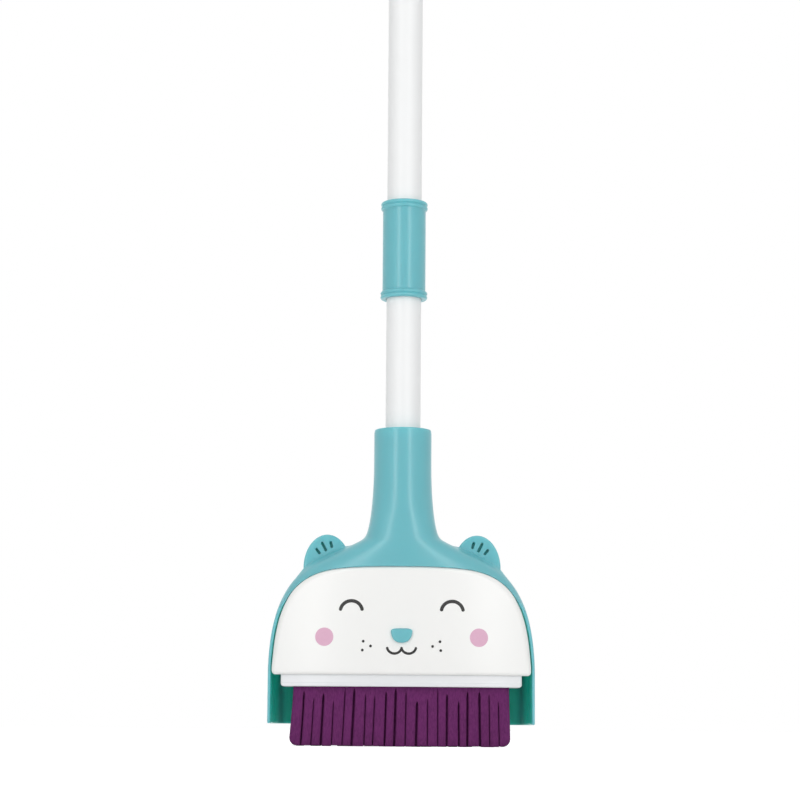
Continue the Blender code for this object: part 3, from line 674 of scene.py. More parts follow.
# Dark matt purple with paler loose fibres and cloudy shade.
PURPLE_FELT = NeedleFelt(
    "needle-punched purple felt", colour="#642660", fuzz_colour="#703069", shade_colour="#582254"
)
# Thin films, a little paler where they cover less.
BLACK_INK = PadPrint("pad-printed black ink", colour="#161514", thin_colour="#1d1c1b")
PINK_INK = PadPrint("pad-printed pink ink", colour="#dba9c3", thin_colour="#e0b2ca")
# Bright grey metal with duller blotches.
SCREW_ZINC = ZincPlatedSteel("zinc-plated steel", colour="#c3c5c7", dull_colour="#b3b5b8", roughness=0.36)


# ---------------------------------------------------------------- distance fields


def mix(a: Any, b: Any, share: Any) -> Any:
    """The value at a share of the way from one value to another."""
    return a + (b - a) * share


def ease(share: Any) -> Any:
    """A share from zero to one that starts and ends gently."""
    share = np.clip(share, 0, 1)
    return share * share * (3 - 2 * share)


def soft_min(a: Array, b: Array, reach: Any) -> Array:
    """Two fields joined with a fillet over this reach."""
    near = np.maximum(reach - np.abs(a - b), 0) / reach
    return np.minimum(a, b) - near * near * (reach / 4)


def soft_max(a: Array, b: Array, reach: float) -> Array:
    """What two fields share, with an edge rounded over this reach."""
    near = np.maximum(reach - np.abs(a - b), 0) / reach
    return np.maximum(a, b) + near * near * (reach / 4)


def rounded(flat: Array, along: Array, radius: Any) -> Array:
    """A prism with a round edge.

    Args:
        flat: Distance to the prism's outline.
        along: Distance to its end face.
        radius: Radius of the edge between them.

    Returns:
        Distance to the prism.
    """
    flat, along = flat + radius, along + radius
    corner = np.hypot(np.maximum(flat, 0), np.maximum(along, 0))
    return np.minimum(np.maximum(flat, along), 0) + corner - radius


def bezier(handles: Sequence[Point], steps: int) -> Array:
    """Points along a cubic curve.

    Args:
        handles: Four control points.
        steps: Number of steps.

    Returns:
        An array of steps + 1 points.
    """
    a, b, c, d = (np.array(h, dtype=float) for h in handles)
    t = np.linspace(0, 1, steps + 1)[:, None]
    return a * (1 - t) ** 3 + 3 * b * t * (1 - t) ** 2 + 3 * c * t * t * (1 - t) + d * t**3


def softened(line: Array, reach: float) -> Array:
    """A line with its bends rounded.

    Args:
        line: Points along it.
        reach: How far along the line a bend is spread.

    Returns:
        Points at even steps along the rounded line.
    """
    steps, tails = 6, 3
    side = tails * steps
    lengths = np.concatenate(([0], np.cumsum(np.hypot(*np.diff(line, axis=0).T))))
    places = np.arange(0, lengths[-1], reach / steps)
    even = np.stack([np.interp(places, lengths, column) for column in line.T], axis=1)
    offsets = np.arange(-side, side + 1)
    weights = np.exp(-((offsets / steps) ** 2) / 2)
    padded = np.pad(even, ((side, side), (0, 0)), mode="reflect", reflect_type="odd")
    return np.stack([np.convolve(column, weights / weights.sum(), "valid") for column in padded.T], axis=1)


def outline_distance(outline: Sequence[Point], u: Array, v: Array) -> Array:
    """Distance from points to a closed outline, negative inside it.

    Args:
        outline: The outline's corners.
        u: First coordinate of the points.
        v: Second coordinate, of a shape that fits the first.

    Returns:
        The distances.
    """
    best = np.full(np.broadcast(u, v).shape, np.inf, dtype=np.float32)
    inside = np.zeros(best.shape, dtype=bool)
    corners = [(float(a), float(b)) for a, b in outline]
    for (u0, v0), (u1, v1) in zip(corners, corners[1:] + corners[:1]):
        du, dv = u1 - u0, v1 - v0
        length = du * du + dv * dv
        if length < ONE_POINT:
            continue
        share = np.clip(((u - u0) * du + (v - v0) * dv) / length, 0, 1)
        best = np.minimum(best, (u - u0 - share * du) ** 2 + (v - v0 - share * dv) ** 2)
        if dv:
            inside ^= ((v0 <= v) != (v1 <= v)) & (u < u0 + (v - v0) * du / dv)
    return np.where(inside, -1, 1) * np.sqrt(best)


def surface_net(field: Array) -> tuple[Array, Array]:
    """Wrap the zero level of a field in quads.

    Args:
        field: Values on a grid, negative inside.

    Returns:
        Points in grid steps, and four point numbers for each quad.
    """
    inside = field < 0
    corners = [np.array((i, j, k)) for i in (0, 1) for j in (0, 1) for k in (0, 1)]
    size = np.array(field.shape) - 1
    count = np.zeros(size, dtype=np.uint8)
    for i, j, k in corners:
        count += inside[i : i + size[0], j : j + size[1], k : k + size[2]]
    cells = np.argwhere((count > 0) & (count < len(corners)))
    number = np.full(size, -1, dtype=np.int32)
    number[tuple(cells.T)] = np.arange(len(cells))
    values = [field[tuple((cells + corner).T)] for corner in corners]
    total, hits = np.zeros((len(cells), 3)), np.zeros((len(cells), 1))
    for a, first in enumerate(corners):
        for b, second in enumerate(corners):
            if a < b and np.abs(second - first).sum() == 1:
                crossed = (values[a] < 0) != (values[b] < 0)
                gap = np.where(crossed, values[a] - values[b], 1)
                share = np.where(crossed, values[a] / gap, 0)[:, None]
                total += (first + share * (second - first)) * crossed[:, None]
                hits += crossed[:, None]
    quads = []
    for axis in range(3):
        side, up = (axis + 1) % 3, (axis + 2) % 3
        start = [slice(1, -1)] * 3
        start[axis] = slice(0, -1)
        end = list(start)
        end[axis] = slice(1, None)
        at = np.argwhere(inside[tuple(start)] != inside[tuple(end)])
        at[:, side] += 1
        at[:, up] += 1
        loop = []
        for back, down in ((1, 1), (0, 1), (0, 0), (1, 0)):
            cell = at.copy()
            cell[:, side] -= back
            cell[:, up] -= down
            loop.append(number[tuple(cell.T)])
        loop = np.stack(loop, axis=1)
        outward = inside[tuple(at.T)]
        quads.append(np.where(outward[:, None], loop, loop[:, ::-1]))
    return cells + total / hits, np.concatenate(quads)


def mesh_of(name: str, points: Array, faces: Array) -> bpy.types.Object:
    """Make an object from points in millimetres and faces of one size.

    Args:
        name: The object's name.
        points: The points.
        faces: Point numbers, one row for each face.

    Returns:
        The object, in the scene and smooth shaded.
    """
    mesh = bpy.data.meshes.new(name)
    mesh.from_pydata((np.asarray(points) * MM).tolist(), [], faces.tolist())
    mesh.shade_smooth()
    piece = bpy.data.objects.new(name, mesh)
    bpy.context.scene.collection.objects.link(piece)
    return piece


def points_of(mesh: bpy.types.Mesh) -> Array:
    """Read a mesh's points.

    Args:
        mesh: The mesh.

    Returns:
        One row for each point, in millimetres.
    """
    places = np.empty(3 * len(mesh.vertices), dtype=np.float32)
    mesh.vertices.foreach_get("co", places)
    return places.reshape(-1, 3).astype(float) / MM


def welded(piece: bpy.types.Object, reach: float, sharp: float) -> bpy.types.Object:
    """Join a piece's doubled points, turn its faces outward and keep its edges crisp.

    Args:
        piece: The piece.
        reach: How close doubled points are, in millimetres.
        sharp: The angle in degrees from which an edge is crisp.

    Returns:
        The piece.
    """
    shape = bmesh.new()
    shape.from_mesh(piece.data)
    bmesh.ops.remove_doubles(shape, verts=shape.verts, dist=reach * MM)
    bmesh.ops.recalc_face_normals(shape, faces=shape.faces)
    shape.to_mesh(piece.data)
    shape.free()
    piece.data.set_sharp_from_angle(angle=math.radians(sharp))
    return piece


@dataclass
class Mould:
    """A block of grid points in which a piece is cut; the left half mirrors the right one."""

    low: Triple
    high: Triple
    step: float

    def __post_init__(self) -> None:
        starts = (0.0, self.low[1], self.low[2])
        self.axes = [
            np.arange(start, end + self.step, self.step, dtype=np.float32)
            for start, end in zip(starts, self.high)
        ]
        self.x = self.axes[0][:, None, None]
        self.y = self.axes[1][None, :, None]
        self.z = self.axes[2][None, None, :]
        self.origin = np.array((-self.axes[0][-1], self.axes[1][0], self.axes[2][0]))

    def evened(self, field: Array) -> Array:
        """A field scaled so that it grows by one for each millimetre."""
        slopes = np.gradient(field, self.step)
        return field / np.maximum(np.sqrt(sum(s * s for s in slopes)), FLATTEST)

    def turned(self, outline: Sequence[Point]) -> Array:
        """Distance to a round piece about the upright axis.

        Args:
            outline: Its half section as (radius, height) points.

        Returns:
            The field.
        """
        radius = np.hypot(self.x, self.y)[:, :, 0]
        rings = np.arange(0, radius.max() + self.step, self.step / 2, dtype=np.float32)
        table = outline_distance(outline, rings[:, None], self.axes[2][None, :])
        flat = radius.ravel()
        columns = [np.interp(flat, rings, column).reshape(radius.shape) for column in table.T]
        return np.stack(columns, axis=2).astype(np.float32)

    def whole(self, field: Array) -> Array:
        """A right half with its mirror image."""
        return np.concatenate((field[:0:-1], field))

    def sample(self, field: Array, points: Array) -> Array:
        """Values of a whole field at points, by linear steps.

        Args:
            field: Both halves of the field.
            points: Places in millimetres.

        Returns:
            One value for each place.
        """
        at = (points - self.origin) / self.step
        margin = 1.001  # one cell and a hair, so that a point on the far side still has a cell
        at = np.clip(at, 0, np.array(field.shape) - margin)
        cell = at.astype(np.int64)
        part = at - cell
        value = np.zeros(len(points))
        for corner in np.ndindex(2, 2, 2):
            weight = np.prod(np.where(corner, part, 1 - part), axis=1)
            value += weight * field[tuple((cell + np.array(corner)).T)]
        return value

    def slope(self, field: Array, points: Array) -> Array:
        """The direction in which a whole field grows, at points.

        Args:
            field: Both halves of the field.
            points: Places in millimetres.

        Returns:
            One direction for each place.
        """
        offsets = np.eye(3) * self.step / 2
        steps = [self.sample(field, points + o) - self.sample(field, points - o) for o in offsets]
        return np.stack(steps, axis=1) / self.step

    def piece(self, name: str, half: Array, faces: int) -> bpy.types.Object:
        """Mesh a field.

        Args:
            name: The piece's name.
            half: The right half of its field.
            faces: About how many triangles it may have.

        Returns:
            The object, its points on the surface and its normals from the field.
        """
        field = self.whole(half)
        points, quads = surface_net(field)
        piece = mesh_of(name, points * self.step + self.origin, quads)
        if 2 * len(quads) > faces:
            thin = piece.modifiers.new("thin", "DECIMATE")
            thin.ratio = faces / (2 * len(quads))
            graph = bpy.context.evaluated_depsgraph_get()
            thinned = bpy.data.meshes.new_from_object(piece.evaluated_get(graph))
            piece.modifiers.clear()
            full = piece.data
            piece.data = thinned
            bpy.data.meshes.remove(full)
            thinned.name = name
        mesh = piece.data
        places = points_of(mesh)
        rounds, least, reach = 2, 0.05, self.step / 3
        for _ in range(rounds):
            slope = self.slope(field, places)
            steep = np.maximum((slope * slope).sum(axis=1), least)
            move = np.clip(self.sample(field, places) / steep, -reach, reach)
            places -= slope * move[:, None]
        slope = self.slope(field, places)
        normals = slope / np.maximum(np.linalg.norm(slope, axis=1), TINY)[:, None]
        mesh.vertices.foreach_set("co", (places * MM).astype(np.float32).ravel())
        mesh.update()
        mesh.shade_smooth()
        mesh.normals_split_custom_set_from_vertices(normals.tolist())
        return piece


def dress(
    piece: bpy.types.Object, finish: Finish, body: Body, nodes: Sequence[str] = ()
) -> bpy.types.Object:
    """Give a piece its finish and body, and put it in place of its CAD nodes.

    Args:
        piece: The piece.
        finish: Its finish.
        body: The body that carries it.
        nodes: The CAD nodes that it stands for.

    Returns:
        The piece.
    """
    piece.data.materials.clear()
    piece.data.materials.append(finish.material())
    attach(piece, body.value)
    if nodes:
        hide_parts(*nodes)
    LOG.info("%s: %d faces, %s, on %s", piece.name, len(piece.data.polygons), finish.name, body.value)
    return piece


# ---------------------------------------------------------------- shared lines of the head


@dataclass(frozen=True)
class HeadLines:
    """The lines that the hood and the brush share."""

    bow_radius: float = 265.0
    face_bottom: float = 43.4
    face_top: float = 110.7
    face_half: float = 80.1
    face_front: float = -20.0
    corner: float = 5.0
    block_back: float = 5.8
    cover_front: float = 6.1
    cover_back: float = 8.5
    rail_spread: float = 26.0
    rail_thickness: float = 3.0
    arch_side: Point = (0.96, 0.953)
    arch_top: float = 0.695
    arch_steps: int = 64
    corner_points: int = 13

    def bow(self, x: Any) -> Any:
        """How far the brush's bow sets a point back."""
        return x * x / (2 * self.bow_radius)

    def dome(self, half: float, foot: float, top: float, corner: float) -> list[Point]:
        """The face's outline: straight foot, round lower corners and one wide arch.

        Args:
            half: Half its width.
            foot: Height of its foot.
            top: Height of its top.
            corner: Radius of the lower corners.

        Returns:
            The closed outline as (x, z) points.
        """
        start = self.face_bottom + self.corner
        turns = np.radians(np.linspace(0, 90, self.corner_points))
        right = [(half - corner + corner * math.sin(t), foot + corner * (1 - math.cos(t))) for t in turns]
        handles = [
            (half, start),
            (half * self.arch_side[0], mix(start, top, self.arch_side[1])),
            (half * self.arch_top, top),
            (0, top),
        ]
        right += [tuple(point) for point in bezier(handles, self.arch_steps)]
        return right + [(-x, z) for x, z in reversed(right[:-1])]


LINES = HeadLines()


# ---------------------------------------------------------------- hood


@dataclass
class Hood:
    """The teal moulding: neck socket, shoulders, ears and the scoop's walls."""

    wall: float = 2.4
    half_width: float = 82.65
    front: float = 21.5
    back: float = 32.9
    foot: float = 13.6
    shoulder_top: float = 127.7
    blend: float = 20.0
    flare: float = 6.3
    flare_top: float = 173.1
    swell_top: float = 168.2
    neck_radius: float = 18.0
    neck_top: float = 196.7
    crown: float = 7.0
    bevel: Point = (0.3, 1.2)
    socket_radius: float = 11.3
    socket_wall: float = 2.2
    socket_bottom: float = 136.7
    socket_floor: float = 3.0
    rib: float = 2.0
    side_handle: Point = (0.963, 0.176)
    top_handle: Point = (0.455, 0.12)
    neck_handles: Point = (0.16, 0.616)
    line_round: float = 1.65
    powers: Triple = (2.0, 2.15, 5.0)
    side_power: float = 3.0
    gusset: Point = (76.0, 24.5)
    gusset_leans: Point = (30.0, 80.0)
    gusset_shade: Point = (1.0, 3.6)
    root_power: float = 0.4
    root_level: float = 133.0
    root_reach: float = 11.0
    side_levels: Point = (82.0, 96.0)
    lip_lap: float = 1.0
    lip_zone: float = 24.0
    face_gap: float = 0.4
    face_edge: float = 3.4
    face_clearance: float = 0.12
    rim_front: float = -6.0
    rim_shares: tuple[float, float, float, float] = (0.35, 0.6, 0.75, 0.8)
    rim_step: float = 1.5
    ear_spread: float = 46.8
    ear_half: float = 14.8
    ear_height: float = 20.6
    ear_stem: float = 4.0
    ear_sink: float = 6.7
    ear_front: float = 1.0
    ear_thickness: float = 4.5
    ear_fillets: Point = (7.0, 1.2)
    groove_width: float = 1.45
    groove_depth: float = 2.2
    groove_lengths: Point = (6.5, 4.3)
    groove_step: float = 4.7
    groove_rise: float = 7.0
    groove_shift: float = -1.1
    groove_lift: float = 6.7
    groove_lean: float = 27.0
    groove_fan: float = 11.0
    rail_bottom: float = 62.6
    rail_length: float = 36.0
    screw_level: float = 166.7
    screw_head: float = 3.3
    screw_hole: float = 1.8
    screw_seat: float = 16.2
    rail_gap: float = 0.3
    below: float = 20.0
    ledge_lap: float = 2.6
    ledge_height: float = 34.0
    pocket_round: float = 1.5
    core_round: float = 1.2
    crown_round: float = 2.0
    neck_edges: Point = (0.5, 0.6)
    ear_edge: float = 1.5
    ear_fillet_zone: Point = (2.5, 3.0)
    wall_edge: float = 0.8
    face_room_edge: float = 0.4
    mouth_edge: float = 1.0
    foot_edge: float = 0.9
    groove_edge: float = 0.5
    bore_edge: float = 1.2
    seat_edge: float = 0.6
    inside_span: Point = (0.4, 0.5)
    lip_fades: Point = (8.0, 4.0)
    neck_fade: float = 3.0
    sunk_span: Point = (0.25, 0.5)
    sunk_least: float = 0.3
    shoulder_steps: int = 80
    neck_steps: int = 60
    rim_steps: int = 40
    grid: float = 0.6
    grid_room: float = 2.0
    grid_front: float = -24.0
    faces: int = 110_000

    def outline(self) -> Array:
        """Draw the hood's front silhouette, from foot to neck.

        Returns:
            Its half widths and heights.
        """
        root = np.array((self.neck_radius + self.flare, self.shoulder_top))

        def handle(across: float, up: float) -> Array:
            """A curve handle between the neck's root and the hood's side."""
            return np.array(
                (mix(root[0], self.half_width, across), mix(LINES.face_top, self.shoulder_top, up))
            )

        high = handle(*self.top_handle)
        side = (self.half_width, LINES.face_bottom + LINES.corner)
        shoulder = bezier([side, handle(*self.side_handle), high, root], self.shoulder_steps)
        neck = bezier(
            [
                root,
                root + (root - high) * self.neck_handles[0],
                (self.neck_radius, mix(self.shoulder_top, self.flare_top, self.neck_handles[1])),
                (self.neck_radius, self.flare_top),
            ],
            self.neck_steps,
        )
        line = np.concatenate(([(self.half_width, self.foot - self.below)], shoulder, neck[1:]))
        return softened(line, self.line_round)

    def skin(self, mould: Mould) -> Array:
        """Distance to the hood's outer skin: round front, squarer back and a circle at the neck.

        Args:
            mould: The grid.

        Returns:
            The field, with no ears and no cuts.
        """
        x, y, z = mould.axes
        spread = ease((self.swell_top - z) / (self.swell_top - LINES.face_top + self.blend))
        corner = ease((self.shoulder_top - z) / (self.shoulder_top - LINES.face_top + self.blend))
        line = self.outline()
        half = np.interp(z, line[:, 1], line[:, 0])
        field = np.empty((len(x), len(y), len(z)), dtype=np.float32)
        plain, front_power, back_power = self.powers
        low, high = self.side_levels
        front_power = mix(self.side_power, front_power, ease((z - low) / (high - low)))
        root = np.exp(-(((z - self.root_level) / self.root_reach) ** 2))
        front_power = mix(plain, front_power, corner) + self.root_power * root
        for rows, depth, power in (
            (y < 0, mix(self.neck_radius, self.front, spread), front_power),
            (y >= 0, mix(self.neck_radius, self.back, spread), mix(plain, back_power, spread)),
        ):
            across = (x[:, None] / half) ** power
            deep = (np.abs(y[rows])[:, None] / depth) ** power
            total = across[:, None, :] + deep[None, :, :]
            field[:, rows, :] = np.maximum(total, TINY) ** (1 / power) - 1
        return mould.evened(field).astype(np.float32)

    def pocket(self, mould: Mould) -> Array:
        """Distance to the creased back corner of the scoop's pocket.

        Args:
            mould: The grid.

        Returns:
            The field, zero on two planes that meet in the crease.
        """
        across, deep = mould.x - self.gusset[0], mould.y - self.gusset[1]
        leans = np.radians(self.gusset_leans)
        planes = [across * math.cos(lean) + deep * math.sin(lean) for lean in leans]
        return np.where(mould.y > 0, soft_max(*planes, self.pocket_round), -self.back)

    def ear_level(self) -> float:
        """Height of the middle of an ear's round top."""
        line = self.outline()[::-1]
        return float(np.interp(self.ear_spread, line[:, 0], line[:, 1])) - self.ear_sink

    def ear(self, mould: Mould) -> Array:
        """Distance to an ear: a plate with a round top and soft edges.

        Args:
            mould: The grid.

        Returns:
            The field.
        """
        across, up = mould.x - self.ear_spread, mould.z - self.ear_level()
        near = np.hypot(across / self.ear_half, np.maximum(up, 0) / self.ear_height)
        slope = np.hypot(across / self.ear_half**2, np.maximum(up, 0) / self.ear_height**2)
        flat = (near - 1) * near / np.maximum(slope, FLATTEST)
        flat = np.maximum(flat, -self.ear_stem - up)
        half = self.ear_thickness / 2
        return rounded(flat, np.abs(mould.y - self.ear_front - half) - half, self.ear_edge)

    def grooves(self, mould: Mould) -> Array:
        """Distance to the three grooves in an ear's front.

        Args:
            mould: The grid.

        Returns:
            The field.
        """
        flat = None
        for step in (-1, 0, 1):
            lean = math.radians(self.groove_lean + step * self.groove_fan)
            middle = math.radians(self.groove_lean)
            across = self.groove_rise * math.sin(middle) + step * self.groove_step * math.cos(lean)
            across += self.groove_shift
            up = self.groove_rise * math.cos(middle) - step * self.groove_step * math.sin(lean)
            u = mould.x - self.ear_spread - across
            v = mould.z - self.ear_level() - self.groove_lift - up
            along = u * math.sin(lean) + v * math.cos(lean)
            aside = u * math.cos(lean) - v * math.sin(lean)
            reach = (self.groove_lengths[abs(step)] - self.groove_width) / 2
            groove = np.hypot(aside, along - np.clip(along, -reach, reach)) - self.groove_width / 2
            flat = groove if flat is None else np.minimum(flat, groove)
        return np.maximum(flat, mould.y - self.ear_front - self.groove_depth)

    def core(self, mould: Mould) -> Array:
        """What stands inside the hollow: socket, ribs, screw boss and rails.

        Args:
            mould: The grid.

        Returns:
            The field.
        """
        x, y, z = mould.x, mould.y, mould.z
        outer = self.socket_radius + self.socket_wall
        core = np.maximum(np.hypot(x, y) - outer, self.socket_bottom - self.socket_floor - z)
        for aside in ((x + y) / math.sqrt(2), (x - y) / math.sqrt(2)):
            core = np.minimum(core, np.maximum(np.abs(aside) - self.rib / 2, self.socket_bottom - z))
        boss = np.hypot(x, z - self.screw_level) - self.screw_head - self.socket_wall
        core = np.minimum(core, np.maximum(boss, -y))
        start = LINES.cover_back + self.rail_gap + LINES.bow(LINES.rail_spread + LINES.rail_thickness)
        middle = self.rail_bottom + self.rail_length / 2
        rail = np.maximum(np.abs(x - LINES.rail_spread) - LINES.rail_thickness / 2, start - y)
        return np.minimum(core, np.maximum(rail, np.abs(z - middle) - self.rail_length / 2))

    def rim(self, mould: Mould) -> Array:
        """Distance to the room in front of the side walls' blunt edges, which sweep forward to the lip.

        Args:
            mould: The grid.

        Returns:
            The field.
        """
        height = LINES.face_top - LINES.face_bottom
        levels = [LINES.face_bottom + height * share for share in self.rim_shares]
        depths = (self.rim_front, self.rim_front, self.rim_front - self.rim_step, -self.front)
        sweep = bezier(list(zip(depths, levels)), self.rim_steps)
        line = np.interp(mould.axes[2], sweep[:, 1], sweep[:, 0])
        slope = np.gradient(line, mould.step)
        edge = (mould.y - line) / np.sqrt(1 + slope * slope)
        return np.maximum(edge, mould.z - levels[-1])

    def build(self) -> bpy.types.Object:
        """Cut the hood and mark which of its points lie inside.

        Returns:
            The object.
        """
        spare = self.grid_room
        low = (0, self.grid_front, self.foot - spare)
        mould = Mould(low, (self.half_width + spare, self.back + spare, self.neck_top + spare), self.grid)
        x, y, z = mould.x, mould.y, mould.z
        skin, ear = self.skin(mould), self.ear(mould)
        wide, high = self.bevel
        bevel = (skin * high + (z - self.neck_top) * wide + wide * high) / math.hypot(wide, high)
        side_edge, top_edge = self.neck_edges
        capped = soft_max(soft_max(skin, bevel, side_edge), z - self.neck_top, top_edge)
        start, zone = self.ear_fillet_zone
        fillet = mix(*self.ear_fillets, ease((y - self.ear_front + start) / zone))
        solid = soft_min(capped, ear, fillet)
        hollow = soft_max(skin + self.wall, z - (self.neck_top - self.crown), self.crown_round)
        hollow = soft_max(hollow, self.pocket(mould), self.core_round)
        hollow = soft_max(hollow, -self.core(mould), self.core_round)

        below = self.foot - self.below
        opening = LINES.dome(
            LINES.face_half + self.face_gap, below, LINES.face_top - self.lip_lap, LINES.corner
        )
        flat = outline_distance(opening, x, z)
        face = LINES.dome(LINES.face_half, below, LINES.face_top, LINES.corner)
        deep = y - LINES.bow(x)
        clear = self.face_clearance
        room = rounded(outline_distance(face, x, z) - clear, LINES.face_front - clear - deep, self.face_edge)
        ledge = np.maximum(flat - self.ledge_lap, deep - LINES.face_front)
        hollow = np.maximum(hollow, -np.maximum(ledge, LINES.face_top - self.ledge_height - z))
        field = soft_max(solid, -hollow, self.wall_edge)
        field = soft_max(field, -np.maximum(room, y), self.face_room_edge)
        field = soft_max(field, -np.maximum(flat, y), self.mouth_edge)
        field = soft_max(field, -self.rim(mould), self.mouth_edge)
        field = soft_max(field, self.foot - z, self.foot_edge)
        field = soft_max(field, -self.grooves(mould), self.groove_edge)
        bore = np.hypot(x, y) - self.socket_radius
        field = soft_max(field, -np.maximum(bore, self.socket_bottom - z), self.bore_edge)
        around = np.hypot(x, z - self.screw_level)
        seat = np.maximum(around - self.screw_head, self.screw_seat - y)
        field = soft_max(field, -seat, self.seat_edge)
        field = np.maximum(field, -np.maximum(around - self.screw_hole, -y))
        piece = mould.piece("hood", field, self.faces)
        self.mark_inside(piece, mould, np.minimum(skin, ear))
        return piece

    def mark_inside(self, piece: bpy.types.Object, mould: Mould, skin: Array) -> None:
        """Store how far each point lies inside, in a groove and in the scoop's back crease, from zero to one;
        all three are painted shade.

        Args:
            piece: The hood.
            mould: Its grid.
            skin: The field of its outer skin with the ears.
        """
        mesh = piece.data
        places = points_of(mesh)
        x, y, z = np.abs(places[:, 0]), places[:, 1], places[:, 2]
        # Painted shade: how deep a point lies inside drives the deeper inside colour, faded out at the lip
        # and the neck's top.
        depth = -mould.sample(mould.whole(skin), places)
        start, span = self.inside_span
        inside = ease((depth - self.wall * start) / (self.wall * span))
        rise, back = self.lip_fades
        lip = ease((z - LINES.face_top + self.lip_zone) / rise) * ease(-y / back)
        inside *= (1 - lip) * (1 - ease((z - self.neck_top + self.crown + self.neck_fade) / self.neck_fade))
        # Painted shade: points sunk in the ear grooves are marked for the dark groove colour.
        level = self.ear_level() + self.groove_lift
        near = np.hypot(x - self.ear_spread, z - level) < self.ear_half
        start, span = self.sunk_span
        sunk = ease((y - self.ear_front - start) / span)
        shallow = y < self.ear_front + self.groove_depth + self.groove_edge
        groove = sunk * near * shallow * (depth > self.sunk_least)
        # Painted shade: a dark crease in the scoop's back corner, which lets less light through.
        corner = np.hypot(x - self.gusset[0], y - self.gusset[1])
        held, reach = self.gusset_shade
        crease_shade = held * inside * np.exp(-((corner / reach) ** 2))
        for name, values in (("inside", inside), ("groove", groove), ("crease_shade", crease_shade)):
            mark = mesh.attributes.new(name, "FLOAT", "POINT")
            mark.data.foreach_set("value", values.astype(np.float32))

    def dress(self) -> None:
        """Build the hood and dress it."""
        dress(self.build(), TEAL_ABS, Body.HEAD, ["hood_shell"])


# ---------------------------------------------------------------- brush


